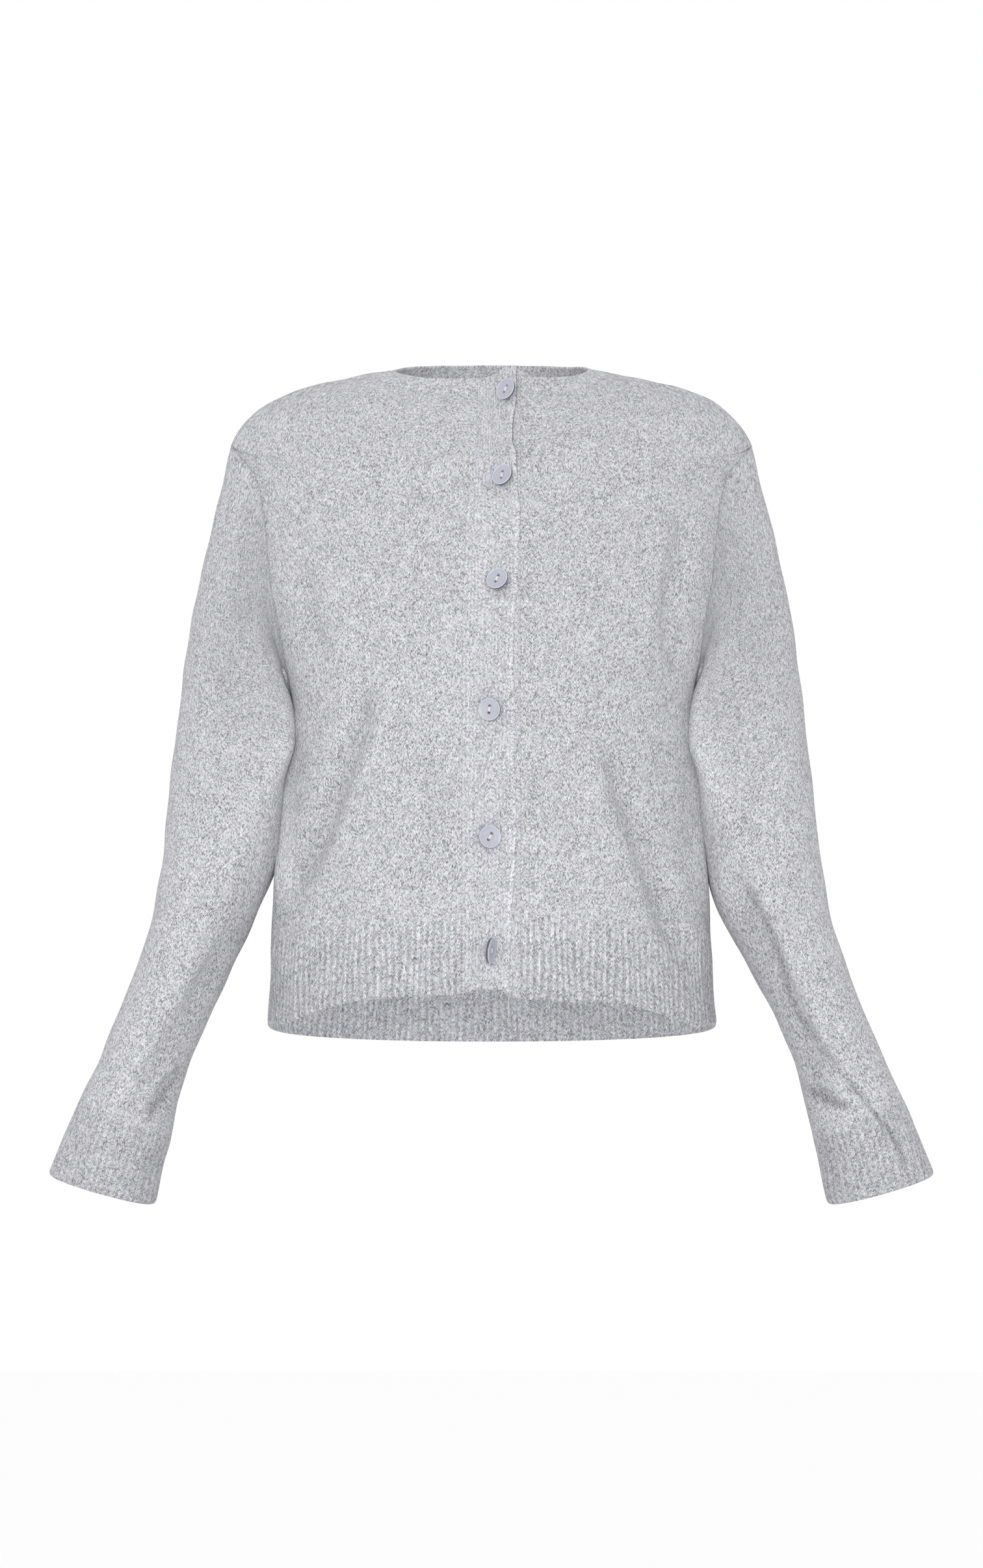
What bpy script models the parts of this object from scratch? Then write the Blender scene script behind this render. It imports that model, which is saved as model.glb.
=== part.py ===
"""A long-sleeved button cardigan in fine marl knit, filled out as worn, with nothing inside it.

Run with: blender --background --python part.py
Metres, +Z up. The front faces -Y, and the wearer's right side is at -X. The origin lies between the
shoulders, at the height where they carry the garment. Tables are in millimetres.
Torso sections run from the hem up to the neck's top edge. Sleeve sections run from the armhole to the cuff.
"""

import math
from functools import lru_cache

import bmesh
import bpy
import numpy as np
from mathutils import Matrix

MM = 0.001

# ---- Driving dimensions, in millimetres ----
WALL = 2.4  # single layer of the knit
RIB_WALL = 2.2  # ribbed layer, measured in the valleys
RIB_HEIGHT = 1.0  # how far a rib stands out of its valleys
BAND_RIB_HEIGHT = 0.6  # the same, on the buttonhole band
RIB_PITCH = 5.6  # one rib and one valley round the hem
CUFF_RIB_PITCH = 5.2
NECK_RIB_PITCH = 5.4
BAND_RIB_PITCH = 5.05
SEAM_GAP = 0.3  # between pieces that are sewn to each other
EDGE_GAP = 0.5  # where a fine ribbed edge meets a coarser panel edge
LAYER_GAP = 0.7  # between the buttonhole band and the button band below it
BAND_RIGHT_EDGE = 18.0  # free edge of the buttonhole band
PANEL_LEFT_START = 23.0  # where the wearer's left front meets the button band
OVERLAP_FADE_X = -85.0  # the right front comes back to the common surface here
BUTTON_THICKNESS = 2.8
BUTTON_HOLE_RADIUS = 1.3
BUTTON_HOLE_SPACING = 5.2
BAND_LEFT_EDGE = -23.0  # seam of the buttonhole band at the hem
BAND_NARROWS_BY = 12.0  # the band is slimmer at the neck
BAND_TUCK = 6.0  # how far the button band starts inside the buttonhole band's seam
LIFT_ENDS_PAST_EDGE = 5.0  # past the free edge nothing lies on top any more
BAND_CURL = 3.0  # how far the buttonhole band stands off at the neck
CORNER_START = 12.0  # the band's top corner is rounded from here to its free edge
CORNER_DROP = 0.12  # in table rows
NECK_PEAK = 9.5  # how far the top button pulls the neck's edge up
NECK_PEAK_X = 15.5
NECK_PEAK_WIDTH = 12.0
CURL_START = -12.0  # from the band's seam
LAP_SCALE = 2.6  # makes the lap's largest share of a section 1
PINCH_POWER = 8  # how closely the arm's press keeps to the side
FOLD_FACING_GAIN = 1.6  # folds keep their depth until the cloth turns well away from the view
BUTTON_SEGMENTS = 18
BUTTON_CLEARANCE = 0.5  # between a button's back and the ribs below it
BAND_INNER_COLUMNS = 3
UNDER_BAND_COLUMNS = 5
NECK_SAMPLES = 40  # points read along each quarter of the neck before they are spaced evenly
NECK_INNER_STEP = 6.0
PANEL_COLUMNS = 12
NEAR_COLUMNS = 2  # columns beside the wearer's left front edge that are split, where the neck is pulled up
NEAR_SPLIT = 3
BACK_COLUMNS = 22
INNER_RIB_STEP = 14.0  # spacing of the plain inside points of a ribbed wall

# ---- Sections ----
# side_x, side_z: the side seam, armhole edge or shoulder seam of that section. seam_y: depth of that seam.
# armhole: half the armhole's depth there, front to back. front_*/back_*: the centre front and centre back.
# square: 1 is an ellipse, less is squarer. lean: how far the cloth at the side faces up, in degrees.
# pinch: how far the arm presses the side in.
TORSO_COLUMNS = (
    "side_x",
    "side_z",
    "seam_y",
    "armhole",
    "front_y",
    "front_z",
    "back_y",
    "back_z",
    "square",
    "lean",
    "pinch",
)
TORSO = (
    ("hem", 183.1, -534.9, 5.0, 0.0, -111.5, -511.1, 104.0, -540.8, 0.9, 1.0, 0.0),
    ("hem_middle", 180.8, -499.1, 6.0, 0.0, -112.5, -479.3, 102.5, -505.1, 0.9, 2.0, 0.0),
    ("rib_top", 178.6, -463.3, 7.0, 0.0, -113.5, -447.3, 100.5, -469.3, 0.9, 3.0, 0.0),
    ("belly_low", 176.8, -430.3, 9.0, 0.0, -115.0, -418.3, 99.0, -435.3, 0.9, 4.0, 0.0),
    ("belly", 174.8, -400.3, 11.0, 0.0, -116.5, -390.7, 98.5, -404.8, 0.9, 5.0, 0.0),
    ("waist", 172.8, -370.2, 13.0, 0.0, -118.0, -363.1, 99.0, -374.3, 0.9, 6.0, 0.5),
    ("ribs_low", 169.5, -340.0, 14.5, 0.0, -119.8, -335.9, 100.5, -343.6, 0.9, 8.0, 3.0),
    ("ribs_high", 164.8, -311.8, 15.0, 0.0, -121.0, -310.6, 102.5, -314.9, 0.9, 8.0, 7.5),
    ("armpit", 161.0, -280.4, 15.0, 0.0, -121.7, -290.9, 104.5, -292.7, 0.9, 0.0, 13.0),
    ("armhole_1", 161.2, -278.1, 15.0, 11.4, -121.8, -288.4, 104.7, -290.7, 0.9, -3.0, 12.8),
    ("armhole_2", 162.0, -271.6, 14.8, 21.0, -122.0, -282.3, 105.2, -283.7, 0.9, -5.0, 12.0),
    ("armhole_3", 164.0, -258.8, 14.5, 32.0, -122.3, -270.1, 106.2, -270.5, 0.9, -6.0, 10.0),
    ("armhole_4", 167.9, -238.9, 14.0, 42.0, -122.5, -252.9, 107.5, -249.8, 0.9, -6.0, 7.0),
    ("armhole_5", 172.9, -212.4, 13.5, 50.0, -122.0, -229.5, 109.0, -222.9, 0.9, -4.0, 4.0),
    ("armhole_6", 177.7, -185.9, 13.0, 54.0, -120.0, -205.1, 110.0, -193.4, 0.9, -1.0, 2.0),
    ("armhole_7", 182.0, -157.3, 12.5, 55.0, -115.5, -179.6, 110.0, -162.9, 0.91, 3.0, 1.0),
    ("armhole_8", 185.4, -128.7, 12.0, 52.0, -109.5, -155.0, 108.5, -133.2, 0.93, 9.0, 0.0),
    ("armhole_9", 188.8, -103.0, 11.0, 46.0, -102.5, -132.5, 105.5, -105.6, 0.97, 17.0, 0.0),
    ("armhole_10", 195.5, -81.5, 10.0, 37.0, -96.0, -114.1, 101.5, -82.0, 1.02, 26.0, 0.0),
    ("armhole_11", 207.6, -64.0, 9.0, 24.0, -90.5, -99.2, 97.5, -63.0, 1.07, 35.0, 0.0),
    ("armhole_12", 214.2, -54.4, 8.0, 11.4, -88.0, -91.5, 95.5, -53.7, 1.09, 40.0, 0.0),
    ("shoulder_tip", 217.0, -50.5, 8.0, 0.0, -87.0, -87.0, 94.8, -48.5, 1.1, 43.0, 0.0),
    ("shoulder_1", 210.5, -36.6, 7.5, 0.0, -84.5, -77.8, 92.5, -36.8, 1.12, 50.0, 0.0),
    ("shoulder_2", 199.5, -24.2, 7.0, 0.0, -82.0, -68.5, 90.5, -24.9, 1.12, 57.0, 0.0),
    ("shoulder_3", 183.0, -11.6, 6.0, 0.0, -80.0, -59.6, 88.5, -14.6, 1.09, 65.0, 0.0),
    ("shoulder_4", 158.5, -1.9, 4.5, 0.0, -78.5, -48.3, 87.0, -2.7, 1.05, 74.0, 0.0),
    ("shoulder_5", 128.0, 4.6, 3.0, 0.0, -77.0, -35.9, 85.5, 9.2, 1.02, 79.0, 0.0),
    ("neckline", 97.5, 11.4, 2.0, 0.0, -75.0, -26.8, 83.5, 20.6, 1.0, 77.0, 0.0),
    ("neck_top", 81.0, 14.3, 2.0, 0.0, -68.0, -13.0, 77.0, 34.6, 1.0, 77.0, 0.0),
)
ROW = {row[0]: i for i, row in enumerate(TORSO)}

# top_*: the sleeve's outer line. under_*: its line under the arm. centre_y: how far forward the arm hangs.
# front, back: half depths. own: 0 keeps the armhole's shape, 1 is a plain oval. dip: how far the front edge
# drops. lap: how far the sleeve's front laps over the torso's side.
SLEEVE_COLUMNS = ("top_x", "top_z", "under_x", "under_z", "centre_y", "front", "back", "own", "dip", "lap")
SLEEVE = (
    ("armhole", 217.0, -50.5, 161.0, -280.4, 12.0, 55.0, 55.0, 0.0, 0.0, 0.0),
    ("cap_1", 222.1, -71.9, 162.4, -275.3, 12.0, 54.0, 55.0, 0.22, 0.0, 0.0),
    ("cap_2", 228.6, -100.0, 164.6, -276.0, 10.5, 54.5, 55.0, 0.45, 0.0, 4.0),
    ("cap_3", 235.6, -133.7, 164.9, -280.6, 6.5, 55.0, 55.0, 0.68, 0.0, 9.0),
    ("cap_4", 243.3, -172.8, 164.1, -289.1, 0.0, 55.5, 55.0, 0.86, 0.0, 15.0),
    ("upper_1", 249.6, -213.8, 163.8, -300.2, -8.0, 55.5, 55.0, 1.0, 0.0, 19.0),
    ("upper_2", 253.8, -255.8, 164.4, -315.1, -18.0, 54.5, 54.0, 1.0, 0.0, 20.0),
    ("upper_3", 257.3, -296.4, 166.0, -334.4, -28.0, 53.0, 52.5, 1.0, 0.0, 13.0),
    ("elbow_1", 260.8, -336.4, 167.4, -358.3, -36.0, 51.0, 51.0, 1.0, 0.0, 5.0),
    ("elbow_2", 263.6, -374.6, 170.6, -394.4, -40.0, 49.0, 49.0, 1.0, 0.0, 0.0),
    ("elbow_3", 268.0, -413.4, 187.9, -440.0, -42.0, 47.0, 47.0, 1.0, 0.0, 0.0),
    ("forearm_1", 275.3, -453.0, 206.7, -483.5, -44.0, 44.5, 44.5, 1.0, 0.0, 0.0),
    ("forearm_2", 288.2, -494.4, 224.8, -523.7, -46.0, 42.0, 42.0, 1.0, 0.0, 0.0),
    ("forearm_3", 303.4, -535.6, 242.8, -567.7, -48.0, 40.0, 40.0, 1.0, 0.0, 0.0),
    ("wrist", 313.5, -560.0, 249.6, -593.0, -49.0, 37.0, 37.0, 1.0, 1.0, 0.0),
    ("cuff_top", 325.7, -587.3, 255.2, -618.3, -50.0, 34.0, 34.0, 1.0, 2.0, 0.0),
    ("cuff_middle", 339.0, -618.3, 262.0, -647.4, -51.0, 31.5, 31.5, 1.0, 3.0, 0.0),
    ("cuff_edge", 353.2, -654.3, 268.6, -678.4, -52.0, 30.0, 30.0, 1.0, 4.0, 0.0),
)
STATION = {row[0]: i for i, row in enumerate(SLEEVE)}
LEFT_UNDER_SHIFT = {"elbow_3": -6.5, "forearm_1": -2.0}  # the wearer's left sleeve hangs closer there

# ---- Largest folds, as troughs that run along lines in the front or back view ----
# side: -1 is on the front, 1 on the back. Ends fade out over fade mm.
FOLD_COLUMNS = ("side", "depth", "width", "fade", "line")
TORSO_FOLDS = (
    (-1, 6.0, 11.0, 50.0, ((-98, -246), (-106, -301), (-121, -343), (-142, -397), (-164, -446))),
    (-1, 6.5, 11.0, 50.0, ((85, -301), (106, -356), (126, -413), (146, -465), (168, -494))),
    (-1, 4.0, 9.0, 25.0, ((-148, -165), (-145, -196), (-142, -225), (-136, -250))),
    (-1, 5.5, 9.0, 25.0, ((141, -112), (154, -127), (156, -140), (149, -165), (144, -215), (150, -262))),
    (-1, 2.5, 12.0, 60.0, ((-34, -293), (-44, -346), (-49, -397), (-59, -449))),
    (-1, 2.0, 12.0, 40.0, ((54, -343), (59, -388), (54, -428))),
    (1, 5.0, 10.0, 50.0, ((-92, -235), (-112, -320), (-138, -395), (-160, -440))),
    (1, 5.0, 10.0, 50.0, ((95, -250), (113, -330), (133, -390), (165, -452))),
    (1, 4.0, 8.0, 35.0, ((-152, -150), (-146, -200), (-150, -258))),
    (1, 4.0, 8.0, 35.0, ((150, -140), (145, -205), (150, -262))),
    (1, 2.5, 14.0, 60.0, ((-18, -300), (-30, -380), (-26, -455))),
)
RIGHT_SLEEVE_FOLDS = (
    (-1, 4.0, 9.0, 40.0, ((-206, -488), (-240, -548), (-268, -590), (-300, -622))),
    (-1, 4.5, 6.0, 18.0, ((-250, -592), (-272, -604), (-284, -622))),
    (-1, 2.5, 14.0, 40.0, ((-238, -205), (-205, -262), (-182, -310))),
    (1, 4.0, 10.0, 40.0, ((-262, -350), (-225, -400), (-190, -432))),
    (1, 3.5, 9.0, 40.0, ((-215, -500), (-255, -560), (-300, -606))),
)
LEFT_SLEEVE_FOLDS = (
    (-1, 4.5, 9.0, 40.0, ((192, -452), (222, -520), (250, -570), (286, -618))),
    (-1, 5.0, 6.5, 20.0, ((246, -582), (266, -600), (292, -612))),
    (-1, 2.5, 12.0, 40.0, ((236, -190), (214, -250), (186, -312))),
    (1, 4.0, 10.0, 40.0, ((264, -362), (228, -405), (192, -440))),
    (1, 3.5, 9.0, 40.0, ((220, -508), (258, -566), (300, -612))),
)

# ---- The buttonhole band's free edge, which wanders a little ----
EDGE_COLUMNS = ("z", "x")
BAND_EDGE = (
    (-512.0, 12.0),
    (-466.0, 14.5),
    (-439.0, 15.5),
    (-391.0, 19.0),
    (-322.0, 16.5),
    (-276.0, 17.5),
    (-255.0, 16.0),
    (-210.0, 17.5),
    (-171.0, 20.0),
    (-126.0, 22.0),
    (-79.0, 18.5),
    (-60.0, 15.5),
    (-23.0, 18.5),
)

# ---- How far the front hem's edge hangs below an even one. The buttonhole band's corner rides up ----
DROP_COLUMNS = ("x", "drop")
HEM_DROP_RIGHT = (
    (-183.0, 0.0),
    (-172.0, 8.0),
    (-164.0, 10.0),
    (-143.0, 6.6),
    (-125.0, 5.0),
    (-107.0, 3.8),
    (-30.0, 4.0),
    (-13.0, 0.3),
    (18.0, -0.5),
)
HEM_DROP_LEFT = (
    (-20.0, -3.0),
    (4.0, -3.0),
    (14.0, 5.0),
    (26.0, 7.4),
    (61.0, 8.4),
    (90.0, 6.6),
    (110.0, 6.2),
    (130.0, 9.1),
    (151.0, 12.0),
    (168.0, 13.0),
    (183.0, 0.0),
)

# ---- Buttons: place on the band, tilt off the cloth towards a direction, line of the holes (degrees) ----
BUTTON_COLUMNS = ("x", "z", "tilt", "towards", "holes", "radius")
BUTTONS = (
    (11.8, -33.7, 40.2, 164.2, 66.0, 9.0),
    (9.1, -100.7, 35.3, 150.6, 79.0, 9.0),
    (5.0, -187.4, 27.4, 141.0, 67.0, 9.0),
    (-1.1, -290.8, 19.4, 201.7, 83.0, 9.0),
    (-1.7, -391.4, 15.4, 345.4, 63.0, 9.0),
    (-1.8, -481.4, 73.6, 351.7, 87.0, 10.3),
)

# name: base colour, roughness
MATERIALS = {
    "marl_knit": ((0.56, 0.56, 0.585), 0.95),
    "marl_rib": ((0.53, 0.53, 0.56), 0.95),
    "button": ((0.46, 0.47, 0.55), 0.35),
}


# ---- Smooth interpolation of a table ----
def slopes_of(values):
    """Slopes that keep a curve through evenly spaced values free of overshoot."""
    steps = np.diff(values)
    slopes = np.zeros(len(values))
    same_way = steps[:-1] * steps[1:] > 0
    sums = np.where(same_way, steps[:-1] + steps[1:], 1.0)
    slopes[1:-1] = np.where(same_way, 2 * steps[:-1] * steps[1:] / sums, 0.0)
    slopes[0], slopes[-1] = steps[0], steps[-1]
    return slopes


class Sections:
    """A table of sections, read at any fractional row."""

    def __init__(self, table, columns):
        self.values = np.array([row[1:] for row in table], float)
        self.slopes = np.array([slopes_of(column) for column in self.values.T]).T
        self.columns = columns
        self.last = len(table) - 1

    @lru_cache(maxsize=None)
    def at(self, v):
        v = min(max(v, 0.0), float(self.last))
        i = min(int(v), self.last - 1)
        t = v - i
        low, high = self.values[i], self.values[i + 1]
        rise, fall = self.slopes[i], self.slopes[i + 1]
        mixed = (
            (2 * t**3 - 3 * t**2 + 1) * low
            + (t**3 - 2 * t**2 + t) * rise
            + (3 * t**2 - 2 * t**3) * high
            + (t**3 - t**2) * fall
        )
        return dict(zip(self.columns, mixed))


TORSO_SECTIONS = Sections(TORSO, TORSO_COLUMNS)
SLEEVE_SECTIONS = {
    -1: Sections(SLEEVE, SLEEVE_COLUMNS),
    1: Sections(
        [(*row[:3], row[3] + LEFT_UNDER_SHIFT.get(row[0], 0.0), *row[4:]) for row in SLEEVE], SLEEVE_COLUMNS
    ),
}


def smoothstep(x, low, high):
    t = min(max((x - low) / (high - low), 0.0), 1.0)
    return t * t * (3 - 2 * t)


def unit(vector):
    return vector / np.linalg.norm(vector)


# ---- The torso's surface ----
def quarter(v, face):
    """Of a section's front (face -1) or back (1): row, reach in x, reach in y, centre height, last angle."""
    s = TORSO_SECTIONS.at(v)
    depth, centre_z = (s["front_y"], s["front_z"]) if face < 0 else (s["back_y"], s["back_z"])
    reach_y = depth - s["seam_y"]
    share = s["armhole"] / abs(reach_y)
    last = math.acos(share ** (1 / s["square"])) if share > 0 else math.pi / 2
    pressed = s["pinch"] * math.sin(last) ** PINCH_POWER
    reach_x = (s["side_x"] + pressed) / math.sin(last) ** s["square"]
    return s, reach_x, reach_y, centre_z, last


def torso_point(v, angle, side, face):
    """A point of the plain outer surface. angle runs from the centre line round to the side."""
    s, reach_x, reach_y, centre_z, last = quarter(v, face)
    cosine, sine = max(math.cos(angle), 0.0), max(math.sin(angle), 0.0)
    fall = math.cos(math.pi / 2 * angle / last)
    return np.array(
        (
            side * (reach_x * sine ** s["square"] - s["pinch"] * sine**PINCH_POWER),
            s["seam_y"] + reach_y * cosine ** s["square"],
            s["side_z"] + (centre_z - s["side_z"]) * fall,
        )
    )


def torso_normal(v, angle, side, face, step=0.05):
    """The outward direction of the plain surface. At a side or shoulder seam it lies in the seam's plane."""
    s, reach_x, reach_y, _, _ = quarter(v, face)
    cosine, sine = max(math.cos(angle), 0.0), max(math.sin(angle), 0.0)
    power = 2 - s["square"]
    level = unit(np.array((side * abs(reach_y) * sine**power, face * reach_x * cosine**power, 0.0)))
    low, high = TORSO_SECTIONS.at(v - step), TORSO_SECTIONS.at(v + step)
    y, z = ("front_y", "front_z") if face < 0 else ("back_y", "back_z")
    centre_lean = math.atan2(face * (low[y] - high[y]), high[z] - low[z])
    share = cosine**2
    lean = share * centre_lean + (1 - share) * math.radians(s["lean"])
    return level * math.cos(lean) + np.array((0, 0, math.sin(lean)))


def angle_at_x(v, x, face):
    """The angle at which a section's surface is x from the centre line."""
    s, reach_x, _, _, _ = quarter(v, face)
    return math.asin(min((abs(x) / reach_x) ** (1 / s["square"]), 1.0))


@lru_cache(maxsize=None)
def even_angles(v, face, first, last, count, near=0):
    """Angles from first to last that part the section into count equal lengths. The first near are split."""
    fine = np.linspace(first, last, 8 * count + 1)
    points = np.array([torso_point(v, a, 1, face) for a in fine])
    lengths = np.concatenate([[0.0], np.cumsum(np.linalg.norm(np.diff(points, axis=0), axis=1))])
    between = [i / NEAR_SPLIT for i in range(near * NEAR_SPLIT) if i % NEAR_SPLIT]
    wanted = np.sort(np.concatenate([np.arange(count + 1), between])) * lengths[-1] / count
    return np.interp(wanted, lengths, fine)


def section_length(v, face, first, last, count=64):
    points = np.array([torso_point(v, a, 1, face) for a in np.linspace(first, last, count)])
    return np.linalg.norm(np.diff(points, axis=0), axis=1).sum()


# ---- Folds ----
def trough(point, facing, folds):
    """How far the folds push the cloth in at a point, by its place in the front or back view."""
    total = 0.0
    here = np.array((point[0], point[2]))
    for row in folds:
        fold = dict(zip(FOLD_COLUMNS, row))
        if fold["side"] * facing <= 0:
            continue
        line = np.array(fold["line"], float)
        starts, runs = line[:-1], np.diff(line, axis=0)
        lengths = np.linalg.norm(runs, axis=1)
        shares = np.clip(((here - starts) * runs).sum(1) / lengths**2, 0, 1)
        away = np.linalg.norm(here - starts - runs * shares[:, None], axis=1)
        i = int(away.argmin())
        done = lengths[:i].sum() + shares[i] * lengths[i]
        ends = smoothstep(min(done, lengths.sum() - done), 0, fold["fade"])
        depth = fold["depth"] * ends * min(1.0, abs(facing) * FOLD_FACING_GAIN)
        total += depth * math.exp(-((away[i] / fold["width"]) ** 2))
    return total


def overlap_lift(v, x):
    """How far the wearer's right front and its band stand off the common surface, over the button band."""
    if x > BAND_RIGHT_EDGE + LIFT_ENDS_PAST_EDGE:
        return 0.0
    over = (RIB_WALL + LAYER_GAP) * smoothstep(x, OVERLAP_FADE_X, band_left(v))
    curl = BAND_CURL * smoothstep(v, ROW["armhole_7"], ROW["shoulder_1"])
    return over + curl * smoothstep(x, band_left(v) + CURL_START, BAND_RIGHT_EDGE)


def hem_drop(x, over):
    """How far the front hem's edge hangs down at x, on the upper or the lower side of the overlap."""
    places = dict(zip(DROP_COLUMNS, zip(*(HEM_DROP_RIGHT if over else HEM_DROP_LEFT))))
    return float(np.interp(x, places["x"], places["drop"]))


def neck_peak(x):
    return NECK_PEAK * math.exp(-(((x - NECK_PEAK_X) / NECK_PEAK_WIDTH) ** 2))


def band_left(v):
    """The seam between the wearer's right front and the buttonhole band."""
    return BAND_LEFT_EDGE + BAND_NARROWS_BY * smoothstep(v, ROW["armhole_4"], ROW["neckline"])


def cloth(v, angle, side, face, over=False):
    """(outer point, normal) of the finished cloth in mm. over lays it on top of the button band."""
    point = torso_point(v, angle, side, face)
    normal = torso_normal(v, angle, side, face)
    lift = overlap_lift(v, point[0]) if over else 0.0
    moved = point + normal * (lift - trough(point, normal[1], TORSO_FOLDS))
    if face < 0:
        moved[2] -= hem_drop(point[0], over) * (1 - smoothstep(v, ROW["hem"], ROW["rib_top"]))
        moved[2] += neck_peak(point[0]) * smoothstep(v, ROW["shoulder_3"], ROW["neckline"])
    return moved, normal


# ---- Walls from grids of points ----
def zip_edges(a, b, faces, turned):
    """Triangles between two point rows of different counts, both running from 0 to 1."""
    i = j = 0
    while i < len(a) - 1 or j < len(b) - 1:
        a_next, b_next = (i + 1) / (len(a) - 1), (j + 1) / (len(b) - 1)
        if j == len(b) - 1 or (i < len(a) - 1 and a_next <= b_next):
            triangle = (a[i], a[i + 1], b[j])
            i += 1
        else:
            triangle = (a[i], b[j + 1], b[j])
            j += 1
        faces.append(triangle[::-1] if turned else triangle)


def wall(name, outer, inner, material, closed=False):
    """A closed solid between an outer and an inner grid of points in mm. Both have the same number of rows.

    closed joins each row's last column to its first, as round a sleeve."""
    rows, points, faces, indices = len(outer), [], [], []
    for grid in (outer, inner):
        width, first = len(grid[0]), len(points)
        indices.append([[first + r * width + c for c in range(width)] for r in range(rows)])
        points.extend(point for row in grid for point in row)
    if closed:
        indices = [[row + row[:1] for row in grid] for grid in indices]
    outside, inside = indices
    for grid, turned in ((outside, False), (inside, True)):
        for low, high in zip(grid[:-1], grid[1:]):
            for c in range(len(low) - 1):
                face = (low[c], low[c + 1], high[c + 1], high[c])
                faces.append(face[::-1] if turned else face)
    zip_edges(outside[0], inside[0], faces, True)
    zip_edges(outside[-1], inside[-1], faces, False)
    if not closed:
        for c, turned in ((0, False), (-1, True)):
            for r in range(rows - 1):
                face = (outside[r][c], outside[r + 1][c], inside[r + 1][c], inside[r][c])
                faces.append(face[::-1] if turned else face)
    return solid(name, np.array(points) * MM, faces, material)


def solid(name, points, faces, material):
    mesh = bpy.data.meshes.new(name)
    mesh.from_pydata([tuple(p) for p in points], [], [tuple(f) for f in faces])
    build = bmesh.new()
    build.from_mesh(mesh)
    bmesh.ops.recalc_face_normals(build, faces=build.faces)
    if build.calc_volume(signed=True) < 0:
        bmesh.ops.reverse_faces(build, faces=build.faces)
    build.to_mesh(mesh)
    build.free()
    mesh.materials.append(finish(material))
    mesh.shade_smooth()
    mesh.set_sharp_from_angle(angle=math.radians(50))
    obj = bpy.data.objects.new(name, mesh)
    bpy.context.scene.collection.objects.link(obj)
    return obj


@lru_cache(maxsize=None)
def finish(name):
    colour, roughness = MATERIALS[name]
    material = bpy.data.materials.new(name)
    material.use_nodes = True
    shader = material.node_tree.nodes["Principled BSDF"]
    shader.inputs["Base Color"].default_value = (*colour, 1)
    shader.inputs["Roughness"].default_value = roughness
    shader.inputs["Metallic"].default_value = 0.0
    return material


def rib(column, height):
    """Columns alternate between a rib and a valley, and both ends are valleys."""
    return height if column % 2 else 0.0


# ---- Front, back and hem panels ----
def side_angles(v, face, start_x, gap):
    """From a front edge, or the centre line, to just short of the side seam."""
    s, _, reach_y, _, last = quarter(v, face)
    first = angle_at_x(v, start_x, face) if start_x else 0.0
    back_off = math.acos(min((gap / abs(reach_y)) ** (1 / s["square"]), 1.0))
    return first, min(last, back_off)


def front_rows(rows, side, start_of, columns, over, near=0):
    grid = []
    for v in rows:
        first, last = side_angles(v, -1, start_of(v), SEAM_GAP / 2)
        grid.append([cloth(v, a, side, -1, over) for a in even_angles(v, -1, first, last, columns, near)])
    return grid


def back_rows(rows, columns):
    """The whole back, from the -X side to the +X side."""
    grid = []
    for v in rows:
        first, last = side_angles(v, 1, 0.0, SEAM_GAP / 2)
        angles = even_angles(v, 1, first, last, columns // 2)
        row = [cloth(v, a, -1, 1) for a in angles[:0:-1]] + [cloth(v, a, 1, 1) for a in angles]
        grid.append(row)
    return grid


def offset(grid, distances):
    """Outer points moved along their normals. distances is one number, or one for each column."""
    moves = np.broadcast_to(distances, (len(grid[0]),))
    return [[point + normal * moves[c] for c, (point, normal) in enumerate(row)] for row in grid]


def panel(name, grid, thickness=WALL):
    return wall(name, offset(grid, 0.0), offset(grid, -thickness), "marl_knit")


def ribbed(name, outer, inner, closed=False, height=RIB_HEIGHT):
    """A wall whose outside is ribbed and whose inside is plain and coarser."""
    ribs = [rib(c, height) for c in range(len(outer[0]))]
    return wall(name, offset(outer, ribs), offset(inner, -RIB_WALL), "marl_rib", closed)


def right_start(v):
    return abs(band_left(v)) + SEAM_GAP / 2


def left_start(v):
    return PANEL_LEFT_START + SEAM_GAP / 2


def seam_share(sections, v, step, x="side_x", z="side_z"):
    """Half of EDGE_GAP at row v, as a share of the way to the next row. step is 1 or -1."""
    here, there = sections.at(float(v)), sections.at(float(v + step))
    return EDGE_GAP / 2 / math.hypot(here[x] - there[x], here[z] - there[z])


def make_panels():
    low, high = ROW["rib_top"], ROW["neckline"]
    rows = [low + seam_share(TORSO_SECTIONS, low, 1)]
    rows += list(range(low + 1, high))
    rows.append(high - seam_share(TORSO_SECTIONS, high, -1))
    panel("front_right", front_rows(rows, -1, right_start, PANEL_COLUMNS, True))
    panel("front_left", front_rows(rows, 1, left_start, PANEL_COLUMNS, False, NEAR_COLUMNS))
    panel("back", back_rows(rows, BACK_COLUMNS))
    return rows


def make_hem():
    top = ROW["rib_top"]
    rows = [0.0, 1.0, top - seam_share(TORSO_SECTIONS, top, -1)]
    for name, side, start_of, over in (
        ("hem_rib_right_front", -1, right_start, True),
        ("hem_rib_left_front", 1, left_start, False),
    ):
        length = section_length(0.0, -1, *side_angles(0.0, -1, start_of(0.0), SEAM_GAP / 2))
        outer = front_rows(rows, side, start_of, 2 * round(length / RIB_PITCH), over)
        inner = front_rows(rows, side, start_of, round(length / INNER_RIB_STEP), over)
        ribbed(name, outer, inner)
    length = 2 * section_length(0.0, 1, *side_angles(0.0, 1, 0.0, SEAM_GAP / 2))
    half_ribs, half_inner = round(length / RIB_PITCH / 2), round(length / INNER_RIB_STEP / 2)
    ribbed("hem_rib_back", back_rows(rows, 4 * half_ribs), back_rows(rows, 2 * half_inner))


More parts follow.
